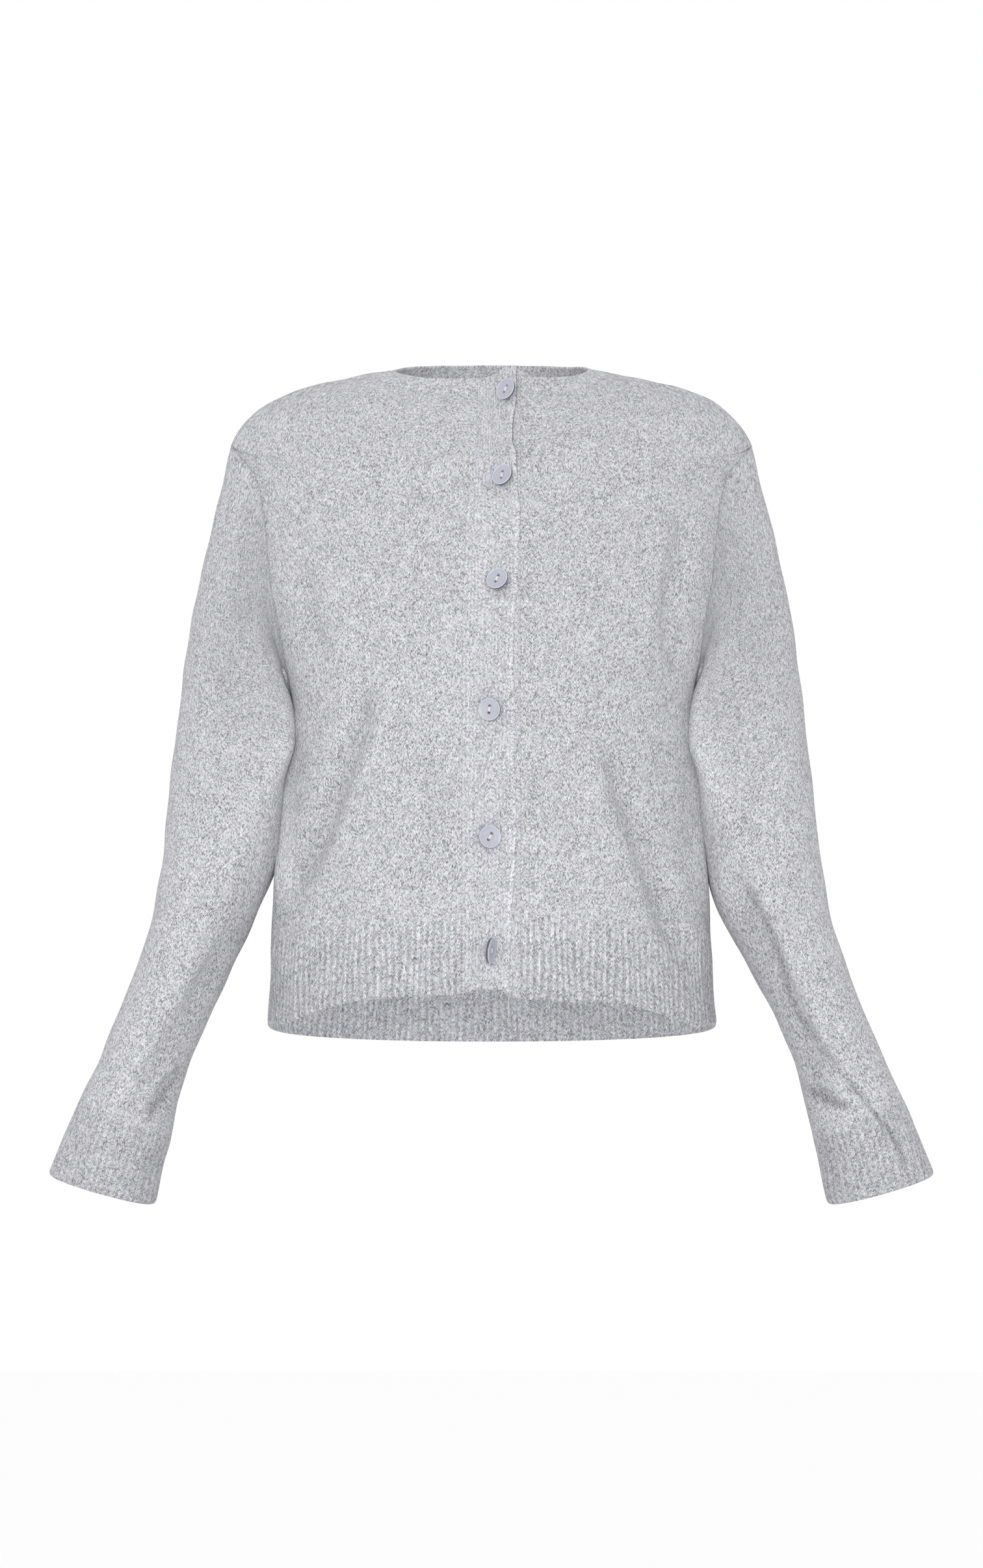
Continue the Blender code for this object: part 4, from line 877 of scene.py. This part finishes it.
def left_start(v):
    return np.full(np.shape(v), PANEL_LEFT_START)


def waves(table, ribs, steps):
    """The product of a table's slow waves, between -1 and 1."""
    return math.prod(np.sin(per_rib * ribs + per_step * steps + start) for per_rib, per_step, start in table)


def rib_profile(columns, run, height=RIB_LOOK):
    """Heights of a ribbed piece that starts and ends in a narrow valley, at distances run along it."""
    phase = np.arange(columns) / POINTS_PER_RIB
    ends = np.clip(np.minimum(phase, phase[-1] - phase) / STEADY_RIBS, 0, 1)
    wander = waves(WANDER_WAVES, phase, run[:, None])
    return height * np.abs(np.sin(np.pi * (phase + RIB_WANDER * ends * wander))) ** RIB_ROUNDNESS


def plain_piece(node, points, normals, across, run, lips, closed=False, shade=0.0, slot="knit"):
    """A sheet of plain knit that stands for its node."""
    inner = points - normals * WALL
    obj = shell(f"{node}_knit", points, inner, across, run[:, None], lips, FINISHES[slot], closed, shade)
    dress(obj, node, points, closed)


def ribbed_piece(node, points, normals, across, run, lips, heights, closed=False, painted=0.0):
    """A sheet with ribs on its outside and, turned about, on its inside."""
    down, over = np.indices(points.shape[:2])
    uneven = waves(UNEVEN_WAVES, over / POINTS_PER_RIB, down)
    heights = heights * (1 - RIB_UNEVEN + RIB_UNEVEN * uneven)
    # painted shade in the valleys and a painted highlight on the ribs' backs, over the piece's own painted
    # tone
    shade = GROOVE_SHADE * (heights.max(axis=-1, keepdims=True) - (1 + RIB_LIGHT) * heights) + painted
    outer = points + normals * heights[..., None]
    inner = points - normals * (RIB_WALL - INNER_RIB * heights)[..., None]
    across = across + WALE / 2
    obj = shell(f"{node}_knit", outer, inner, across, run[:, None], lips, RIB, closed, shade)
    dress(obj, node, points, closed)


def drawn_in(points, normals, run):
    """Rounds a piece in towards its free edge, where run is 0."""
    share = np.clip(1 - run / EDGE_ROUND, 0, 1)
    return points - normals * (EDGE_DRAW * (1 - np.sqrt(1 - share**2)))[:, None, None]


def front_grid(v, side, first_x, shares, over):
    """Points, normals and distances across, from x = first_x to one side."""
    angles, distances = even_section(v, -1, first_x, shares)
    points, normals = cloth(v[:, None], angles, side, -1, over)
    return points, normals, distances


def back_grid(v, half_shares):
    """The same for the back, from side to side."""
    angles, distances = even_section(v, 1, None, half_shares)
    side = np.concatenate([np.full(len(half_shares) - 1, -1.0), np.ones(len(half_shares))])
    mirrored = np.concatenate([angles[:, :0:-1], angles], 1)
    points, normals = cloth(v[:, None], mirrored, side, 1)
    return points, normals, np.concatenate([-distances[:, :0:-1], distances], 1)


def fold_shade(points, normals, folds, shade=FOLD_SHADE):
    """How much darker the knit is in the folds. shade is for each mm that they are deep."""
    return shade * trough(points, normals[..., 1], folds)


def seam_shade(distance):
    """The shade beside a seam, at a distance from it."""
    return SEAM_SHADE * np.exp(-((distance / SEAM_SHADE_WIDTH) ** 2))


FRONTS = (("right", -1, right_start, True), ("left", 1, left_start, False))


def make_fronts():
    v, run = torso_rows(ROW["rib_top"], ROW["neckline"])
    for name, side, first_x, over in FRONTS:
        width = mean_width(v, -1, first_x)
        points, normals, across = front_grid(v, side, first_x, stops(width) / width, over)
        shade = side_tone(points) + seam_shade(across[:, -1:] - across)
        shade += fold_shade(points, normals, TORSO_FOLDS)
        across = side * across
        plain_piece(f"front_{name}", points, normals, across, run, PANEL_LIPS, shade=shade)


def make_back():
    v, run = torso_rows(ROW["rib_top"], ROW["neckline"])
    width = mean_width(v, 1, None)
    shares = stops(2 * width) / (2 * width)
    half = np.concatenate([[0.0], 2 * shares[shares > 0.5 + TINY] - 1])
    points, normals, across = back_grid(v, half)
    plain_piece("back", points, normals, across, run, PANEL_LIPS)


def make_hem():
    v, run = torso_rows(0.0, ROW["rib_top"])
    grown = smoothstep(run[-1] - run, 0, RIB_FADE)[:, None]
    lips = (BOUND_OFF, SEAM_FLUSH, SEAM, SEAM)
    for name, side, first_x, over in FRONTS:
        ribs = round(mean_width(v[:1], -1, first_x) / RIB_PITCH)
        columns = ribs * POINTS_PER_RIB + 1
        points, normals, _ = front_grid(v, side, first_x, np.linspace(0, 1, columns), over)
        across = side * np.linspace(0, ribs * RIB_WALES * WALE, columns)
        heights = rib_profile(columns, run) * grown
        points = drawn_in(points, normals, run)
        tone = side_tone(points) + fold_shade(points, normals, TORSO_FOLDS)
        # painted shade along the front hem's lower edge
        tone += HEM_DARKER * (1 - smoothstep(run, 0, HEM_DARKER_RUN))[:, None]
        node, rests_on = f"hem_rib_{name}_front", [f"front_{name}"]
        ribbed_piece(node, points, normals, across, run, lips, heights, painted=tone)
    half_ribs = round(mean_width(v[:1], 1, None) / RIB_PITCH)
    half_columns = half_ribs * POINTS_PER_RIB + 1
    points, normals, _ = back_grid(v, np.linspace(0, 1, half_columns))
    columns = points.shape[1]
    across = np.linspace(-half_ribs * RIB_WALES * WALE, half_ribs * RIB_WALES * WALE, columns)
    heights = rib_profile(columns, run) * grown
    points = drawn_in(points, normals, run)
    ribbed_piece("hem_rib_back", points, normals, across, run, lips, heights)


# ---- Bands down the front ----
UNDER_BAND_STEP = 2.0
BAND_WALE = 2.6  # width of one of its ridges, in the knit's own coordinates
BAND_WALES = 14  # fine ridges across the buttonhole band
BAND_WALE_HEIGHT = 0.4
BAND_LIGHTER = 0.06  # how much paler it is painted


def band_grid(v, shares, inset, right, over):
    """Points, normals and x of a band, from inset mm inside its left seam to x = right."""
    first = band_left(v)[:, None] + inset
    x = first + (right[:, None] - first) * shares
    side = np.where(x >= 0, 1.0, -1.0)
    v = v[:, None] + 0 * x
    if over:
        near_top = smoothstep(v, ROW["neckline"], ROW["neck_top"])
        v = v - CORNER_DROP * near_top * smoothstep(x, CORNER_START, BAND_RIGHT_EDGE)
    points, normals = cloth(v, angle_at_x(v, x, -1), side, -1, over)
    return points, normals, x


def make_bands():
    v, run = torso_rows(0.0, ROW["neck_top"])
    columns = BAND_WALES * POINTS_PER_RIB + 1
    points, normals, _ = band_grid(v, np.linspace(0, 1, columns), 0.0, band_right(v), True)
    heights = rib_profile(columns, run, BAND_WALE_HEIGHT)
    across = np.linspace(0, BAND_WALES * BAND_WALE, columns) - WALE / 2
    lips = (BOUND_OFF, BOUND_OFF, SEAM, BOUND_OFF)
    points = drawn_in(points, normals, run)
    # the band painted a little paler, with painted light along its free edge
    tone = -BAND_LIGHTER - EDGE_LIGHT * np.exp(-(((across[-1] - across) / EDGE_LIGHT_WIDTH) ** 2))
    ribbed_piece("buttonhole_band", points, normals, across, run, lips, heights, painted=tone)

    width = PANEL_LEFT_START - BAND_LEFT_EDGE - BAND_TUCK
    shares = np.linspace(0, 1, round(width / UNDER_BAND_STEP) + 1)
    points, normals, x = band_grid(v, shares, BAND_TUCK, left_start(v), False)
    lips = (BOUND_OFF, BOUND_OFF, BOUND_OFF, SEAM)
    plain_piece("button_band", points, normals, x, run, lips, slot="rib")


# ---- Neckband ----
NECK_STEP = 2.0


def make_neckband():
    base, top = ROW["neckline"], ROW["neck_top"]
    fine_v = np.linspace(base, top, 40)
    run = along(torso_point(fine_v, 0.0, 1, -1))
    wanted = stops(run[-1], NECK_STEP)
    v = np.interp(wanted, run, fine_v)
    samples = 90
    spans = ((-1, -1, right_start), (-1, 1, None), (1, 1, None), (1, -1, left_start))
    rows = []
    for row in v:
        parts = []
        for side, face, first_x in spans:
            first = angle_at_x(row, first_x(row), face) if first_x else 0.0
            angles = np.linspace(first, np.pi / 2, samples)
            if side * face < 0:
                angles = angles[::-1]
            parts.append(cloth(np.full(samples, row), angles, side, face, side < 0 and face < 0))
        rows.append([np.concatenate(part) for part in zip(*parts)])
    length = along(rows[-1][0])[-1]
    ribs = round(length / NECK_RIB_PITCH)
    columns = ribs * POINTS_PER_RIB + 1
    points = np.array([resampled(p, p, columns) for p, _ in rows])
    normals = unit(np.array([resampled(p, n, columns) for p, n in rows]))
    heights = rib_profile(columns, wanted, NECK_RIB_LOOK)
    across = np.linspace(0, ribs * RIB_WALES * WALE, columns)
    lips = (SEAM, BOUND_OFF, SEAM, SEAM)
    ribbed_piece("neckband", points, normals, across, wanted, lips, heights)


def resampled(line, values, count):
    """Values along a line, read again at count evenly spaced places."""
    run = along(line)
    wanted = np.linspace(0, run[-1], count)
    return np.stack([np.interp(wanted, run, values[:, k]) for k in range(3)], -1)


# ---- Sleeves ----
SLEEVE_POINTS = 112  # round the sleeve
SLEEVE_SWELL = 11.0  # how far it swells forwards beside the body
SLEEVE_SWELL_Z = (-440.0, -390.0, -240.0, -150.0)
SLEEVE_CORNER = (0.0, 0.45)  # from the side to the front corner where it swells
FACING_BODY = (0.1, 0.8)  # how far the sleeve's surface is turned to the body where its tone changes
SLEEVE_LIGHTER = 0.27  # how much paler the side that faces the body is painted, against the shadow in the narrow gap, as on the front
SLEEVE_LIGHTER_Z = (-390.0, -330.0, -270.0, -140.0)
SLEEVE_DARKER = 0.15  # painted shade on the forearm's side that faces the body
SLEEVE_DARKER_Z = (-800.0, -700.0, -470.0, -420.0)
CUFF_DARKER = 0.1  # painted shade, below its join to the sleeve
CREASE_SHADE = 0.2  # of the thin lines pressed into the sleeves, for each mm of their depth


def armhole_loop(side):
    """Edge points round the armhole from the shoulder tip, down the front and up the back, with the cosine
    and sine of each one's place round the sleeve."""
    samples = 400
    down = np.linspace(ROW["shoulder_tip"], ROW["armpit"], samples)
    parts = []
    for face, v, sign in ((-1, down, 1.0), (1, down[::-1], -1.0)):
        _, _, _, _, last = quarter(v, face)
        points, _ = cloth(v, last, side, face, side < 0)
        plain = torso_point(v, last, side, face)
        parts.append(np.column_stack([points, plain[:, 2], np.full(samples, sign)]))
    line = np.concatenate(parts)
    run = along(line[:, :3])
    wanted = np.linspace(0, run[-1], SLEEVE_POINTS, endpoint=False)
    edge = np.stack([np.interp(wanted, run, line[:, k]) for k in range(3)], -1)
    heights = np.interp(wanted, run, line[:, 3])
    signs = np.sign(np.interp(wanted, run, line[:, 4]))
    tip, armpit = SLEEVE[0][2], SLEEVE[0][4]
    cosines = np.clip((2 * heights - tip - armpit) / (tip - armpit), -1, 1)
    return edge, cosines, signs * np.sqrt(1 - cosines**2)


def sleeve_surface(u, side, folds, loop):
    """Outer points and normals of the sleeve at stations u."""
    edge, cosines, sines = loop

    def ovals(at):
        s = {key: value[:, None] for key, value in SLEEVE_SECTIONS[side].at(at).items()}
        depth = np.where(sines > 0, s["front"], s["back"])
        x = (s["top_x"] + s["under_x"]) / 2 + (s["top_x"] - s["under_x"]) / 2 * cosines
        x = x - LAP_SCALE * s["lap"] * np.maximum(sines, 0) ** 2 * np.maximum(-cosines, 0)
        y = s["centre_y"] - depth * sines
        z = (s["top_z"] + s["under_z"]) / 2 + (s["top_z"] - s["under_z"]) / 2 * cosines
        z = z - s["dip"] * np.maximum(sines, 0)
        return np.stack([side * x, y, z], -1), np.clip(s["own"], 0, 1)[..., None]

    plain_edge, _ = ovals(np.zeros(1))
    points, own = ovals(np.asarray(u, float))
    points = points + (edge - plain_edge) * (1 - own)
    corner = smoothstep(np.maximum(sines, 0) * np.maximum(-cosines, 0), *SLEEVE_CORNER)
    points[..., 1] -= SLEEVE_SWELL * corner * own[..., 0] * window(points[..., 2], *SLEEVE_SWELL_Z)
    normals = normals_of(points, closed=True)
    if (normals[:, 0] * (side, 0, 1)).sum() < 0:
        normals = -normals
    lift = unevenness(points) - trough(points, normals[..., 1], folds + CREASES)
    from_edge = smoothstep(np.asarray(u, float), 0, STATION["cap_1"])[:, None]
    return points + normals * (lift * from_edge)[..., None], normals


def station_stops(low, high, side):
    """Fractional stations and distances down the sleeve from the armhole."""
    fine = np.linspace(0, STATION["cuff_edge"], 30 * STATION["cuff_edge"] + 1)
    s = SLEEVE_SECTIONS[side].at(fine)
    middle = np.stack([(s["top_x"] + s["under_x"]) / 2, s["centre_y"], (s["top_z"] + s["under_z"]) / 2], -1)
    top = np.stack([s["top_x"], s["centre_y"], s["top_z"]], -1)
    run = (along(middle) + along(top)) / 2
    start, end = np.interp([low, high], fine, run)
    wanted = start + stops(end - start)
    return np.interp(wanted, run, fine), wanted


def make_sleeve(side, name, folds):
    """A sleeve and its cuff. name says which: right or left."""
    loop = armhole_loop(side)
    u, run = station_stops(0, STATION["cuff_top"], side)
    points, normals = sleeve_surface(u, side, folds, loop)
    across = side * along(ringed(points))
    lips = (SEAM, SEAM_FLUSH)
    facing_body = smoothstep(-side * normals[..., 0], *FACING_BODY)
    # painted shade on the forearm and painted light on the upper sleeve, on the side that faces the body
    tone = SLEEVE_DARKER * window(points[..., 2], *SLEEVE_DARKER_Z)
    tone -= SLEEVE_LIGHTER * window(points[..., 2], *SLEEVE_LIGHTER_Z)
    shade = seam_shade(run[:, None]) + facing_body * tone + fold_shade(points, normals, folds)
    shade += fold_shade(points, normals, CREASES, CREASE_SHADE)
    plain_piece(f"sleeve_{name}", points, normals, across, -run, lips, True, shade)

    u, run = station_stops(STATION["cuff_top"], STATION["cuff_edge"], side)
    points, normals = sleeve_surface(u, side, folds, loop)
    closed_points, closed_normals = ringed(points), ringed(normals)
    ribs = round(along(closed_points)[-1, -1] / CUFF_RIB_PITCH)
    columns = ribs * POINTS_PER_RIB
    points = np.array([resampled(p, p, columns + 1) for p in closed_points])[:, :-1]
    normals = [resampled(p, n, columns + 1) for p, n in zip(closed_points, closed_normals)]
    normals = unit(np.array(normals))[:, :-1]
    grown = smoothstep(run - run[0], 0, RIB_FADE)[:, None]
    heights = rib_profile(columns, run, CUFF_RIB_LOOK) * grown
    across = side * np.linspace(0, ribs * RIB_WALES * WALE, columns + 1)
    lips = (SEAM_FLUSH, BOUND_OFF)
    facing_body = smoothstep(-side * normals[..., 0], *FACING_BODY)
    # painted shade on the cuff and on its side that faces the body
    tone = CUFF_DARKER * grown + SLEEVE_DARKER * facing_body
    tone += fold_shade(points, normals, CREASES, CREASE_SHADE)
    points = drawn_in(points, normals, run[-1] - run)
    ribbed_piece(f"cuff_{name}", points, normals, across, -run, lips, heights, True, tone)


# ---- Buttons ----
BUTTON_SEGMENTS = 72
HOLE_SEGMENTS = 24
SHARP_ANGLE = math.radians(35)
BUTTON_PROFILE = (  # radius as a share of the button's, height as a share of its thickness
    (0.0, 0.0), (0.84, 0.0), (0.93, 0.06), (0.98, 0.2), (0.997, 0.38), (1.0, 0.55),
    (0.997, 0.7), (0.99, 0.84), (0.975, 0.94), (0.955, 1.0), (0.93, 1.0), (0.905, 0.95),
    (0.88, 0.88), (0.84, 0.84), (0.75, 0.81), (0.6, 0.78), (0.4, 0.75), (0.0, 0.73),
)


def button_frame(x, z, tilt, towards, holes, radius):
    """Where a button sits, as a matrix in metres: its x runs along the holes and its z out of its face."""
    rows = np.linspace(0, ROW["neck_top"], 20 * ROW["neck_top"])
    heights = torso_point(rows, angle_at_x(rows, x, -1), 1, -1)[:, 2]
    v = np.array(np.interp(z, heights, rows))
    surface, normal = cloth(v, angle_at_x(v, x, -1), 1 if x >= 0 else -1, -1, True)
    lean, way, line_way = math.radians(tilt), math.radians(towards), math.radians(holes)
    forward = np.array((0, -1, 0))
    face = forward * math.cos(lean) + np.array((math.cos(way), 0, math.sin(way))) * math.sin(lean)
    line = np.array((math.cos(line_way), 0, math.sin(line_way)))
    line = unit(line - forward * (line @ face) / (forward @ face))
    clear = BAND_RIB_HEIGHT + BUTTON_CLEARANCE + radius * math.sqrt(1 - (face @ normal) ** 2)
    matrix = np.eye(4)
    matrix[:3, 0], matrix[:3, 1], matrix[:3, 2] = line, np.cross(face, line), face
    matrix[:3, 3] = (surface + normal * clear) * MM
    return matrix


def lathe(name, profile, segments, material):
    """A closed round solid from (radius, height) pairs that start and end on the axis."""
    build = bmesh.new()
    rings = []
    turns = [2 * math.pi * i / segments for i in range(segments)]
    for radius, height in profile:
        if radius == 0:
            rings.append([build.verts.new((0, 0, height * MM))])
            continue
        size = radius * MM
        ring = [(size * math.cos(turn), size * math.sin(turn), height * MM) for turn in turns]
        rings.append([build.verts.new(point) for point in ring])
    for low, high in zip(rings[:-1], rings[1:]):
        for i in range(segments):
            j = (i + 1) % segments
            if len(low) == 1:
                build.faces.new((low[0], high[j], high[i]))
            elif len(high) == 1:
                build.faces.new((low[i], low[j], high[0]))
            else:
                build.faces.new((low[i], low[j], high[j], high[i]))
    mesh = bpy.data.meshes.new(name)
    build.to_mesh(mesh)
    build.free()
    mesh.materials.append(material)
    return placed(name, mesh)


def make_button(number, place, radius):
    """A turned button with its two holes drilled through."""
    name = f"button_{number}"
    profile = [(r * radius, h * BUTTON_THICKNESS) for r, h in BUTTON_PROFILE]
    button = lathe(f"{name}_turned", profile, BUTTON_SEGMENTS, BUTTON)
    depth = 2 * BUTTON_THICKNESS
    drill_profile = ((0.0, -depth), (BUTTON_HOLE_RADIUS, -depth), (BUTTON_HOLE_RADIUS, depth), (0.0, depth))
    for sign in (-1, 1):
        drill = lathe("drill", drill_profile, HOLE_SEGMENTS, BUTTON)
        drill.location.x = sign * BUTTON_HOLE_SPACING / 2 * MM
        cut = button.modifiers.new("hole", "BOOLEAN")
        cut.operation = "DIFFERENCE"
        cut.object = drill
        with bpy.context.temp_override(object=button, active_object=button):
            bpy.context.view_layer.update()
            bpy.ops.object.modifier_apply(modifier=cut.name)
        bpy.data.objects.remove(drill)
    button.data.shade_smooth()
    button.data.set_sharp_from_angle(angle=SHARP_ANGLE)
    button.matrix_world = Matrix(place.tolist())
    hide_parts(name)
    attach(button, "root")


# ---- Sewing thread ----
THREAD_RADIUS = 0.36
STRAND_SPACING = 0.6
STRANDS = 3
SHANK = 2.6  # how far a strand runs down behind the button's back
THREAD_TIP = 0.2  # a thread's end, as a share of its radius
FACE_HEIGHT = BUTTON_THICKNESS * 0.74  # of the button's face between its holes
THREAD_SKEW = (0.31, 0.87, 0.38)  # a direction that no thread runs in
# Half of a strand: shares of the half span and of the strand's offset, and the height.
HALF_BOW = (
    (1.0, 0.5, -SHANK),
    (1.08, 0.7, 0.4),
    (1.02, 0.85, FACE_HEIGHT - 0.35),
    (0.8, 1.0, FACE_HEIGHT + 0.2),
)
BOW_TOP = (0.0, 1.0, FACE_HEIGHT + 0.4)


def tube(points, radius, sides=8):
    """Points and quads of a round thread along a line, with pointed ends."""
    line = np.array(points, float)
    direction = unit(np.gradient(line, axis=0))
    across = unit(np.cross(direction, THREAD_SKEW))
    other = np.cross(direction, across)
    turns = np.linspace(0, 2 * np.pi, sides, endpoint=False)
    size = np.full(len(line), radius)
    size[0] = size[-1] = radius * THREAD_TIP
    rings = line[:, None] + size[:, None, None] * (
        np.cos(turns)[None, :, None] * across[:, None] + np.sin(turns)[None, :, None] * other[:, None]
    )
    faces = []
    for k in range(len(line) - 1):
        for i in range(sides):
            j = (i + 1) % sides
            faces.append((k * sides + i, k * sides + j, (k + 1) * sides + j, (k + 1) * sides + i))
    ends = [tuple(range(sides))[::-1], tuple(range((len(line) - 1) * sides, len(line) * sides))]
    return rings.reshape(-1, 3), faces, ends


def joined(name, tubes, material):
    """One object from all the tubes' points, quads and ends."""
    points, faces, start = [], [], 0
    for part, quads, ends in tubes:
        points.append(part)
        faces += [tuple(i + start for i in face) for face in quads + ends]
        start += len(part)
    mesh = bpy.data.meshes.new(name)
    mesh.from_pydata(np.concatenate(points), [], faces)
    mesh.materials.append(material)
    mesh.shade_smooth()
    return placed(name, mesh)


def make_threads(places):
    """Cream thread across the holes of each button, and down behind it into the bands."""
    tubes = []
    half = BUTTON_HOLE_SPACING / 2 - BUTTON_HOLE_RADIUS + THREAD_RADIUS
    bow = np.array([*HALF_BOW, BOW_TOP, *HALF_BOW[::-1]])
    bow[: len(HALF_BOW), 0] *= -1
    for place in places:
        for strand in range(STRANDS):
            side = (strand - (STRANDS - 1) / 2) * STRAND_SPACING
            points, faces, ends = tube(bow * (half, side, 1.0) * MM, THREAD_RADIUS * MM)
            tubes.append((points @ place[:3, :3].T + place[:3, 3], faces, ends))
    threads = joined("button_threads", tubes, THREAD)
    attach(threads, "root")


# ---- Studio ----
CAMERA_Y, CAMERA_Z = -3.0, -0.7
AIM_Z = -0.335
HALF_VIEW = 0.645  # half the height that the frame takes in, at the shoulders' depth
FLOOR_Z = -2.3
SENSOR = 36.0

LIGHT_COLUMNS = ("name", "place", "aim", "size", "watts")
LIGHTS = (
    ("key", (-0.6, -3.2, -0.15), (0, 0, -0.33), 1.2, 42.0),
    ("fill", (0.6, -3.1, -0.6), (0, 0, -0.4), 1.2, 12.0),
    ("top", (0.0, 0.3, 2.4), (0, 0, -0.2), 1.6, 6.0),
)
INSIDE_LAMP_RADIUS = 0.05
INSIDE_LAMPS = (  # they show the hollow between front and back
    ("inside_low", (0.0, -0.03, -0.36), 0.82),
    ("inside_high", (0.0, -0.01, -0.12), 0.12),
)


def make_studio():
    distance = math.hypot(CAMERA_Y, AIM_Z - CAMERA_Z)
    camera_data = bpy.data.cameras.new("camera")
    camera_data.sensor_fit = "VERTICAL"
    camera_data.sensor_height = SENSOR
    camera_data.lens = SENSOR / 2 / (HALF_VIEW / distance)
    camera = placed("camera", camera_data)
    camera.location = (0, CAMERA_Y, CAMERA_Z)
    camera.rotation_euler = (math.pi / 2 + math.atan2(AIM_Z - CAMERA_Z, -CAMERA_Y), 0, 0)
    bpy.context.scene.camera = camera

    world = bpy.data.worlds.new("studio")
    world.use_nodes = True
    world.node_tree.nodes["Background"].inputs["Color"].default_value = (1, 1, 1, 1)
    world.node_tree.nodes["Background"].inputs["Strength"].default_value = 1.0
    bpy.context.scene.world = world
    bpy.context.scene.view_settings.view_transform = "Standard"

    for row in LIGHTS:
        light_row = dict(zip(LIGHT_COLUMNS, row))
        light_data = bpy.data.lights.new(light_row["name"], "AREA")
        light_data.shape = "DISK"
        light_data.size = light_row["size"]
        light_data.energy = light_row["watts"]
        light = placed(light_row["name"], light_data)
        light.location = light_row["place"]
        away = Vector(light_row["place"]) - Vector(light_row["aim"])
        light.rotation_euler = away.to_track_quat("Z", "Y").to_euler()
    for name, place, watts in INSIDE_LAMPS:
        lamp_data = bpy.data.lights.new(name, "POINT")
        lamp_data.shadow_soft_size = INSIDE_LAMP_RADIUS
        lamp_data.energy = watts
        placed(name, lamp_data).location = place

    bpy.ops.mesh.primitive_circle_add(vertices=96, radius=40, fill_type="NGON", location=(0, 0, FLOOR_Z))
    floor = bpy.context.object
    floor.name = "floor"
    g = Graph("pale_floor")
    g.set(Base_Color=(0.98, 0.98, 0.98, 1), Roughness=0.9)
    floor.data.materials.append(g.material)


make_fronts()
make_back()
make_hem()
make_bands()
make_neckband()
make_sleeve(-1, "right", RIGHT_SLEEVE_FOLDS)
make_sleeve(1, "left", LEFT_SLEEVE_FOLDS)
button_places = [button_frame(**dict(zip(BUTTON_COLUMNS, row))) for row in BUTTONS]
for number, (place, row) in enumerate(zip(button_places, BUTTONS), 1):
    make_button(number, place, row[BUTTON_COLUMNS.index("radius")])
make_threads(button_places)
make_studio()
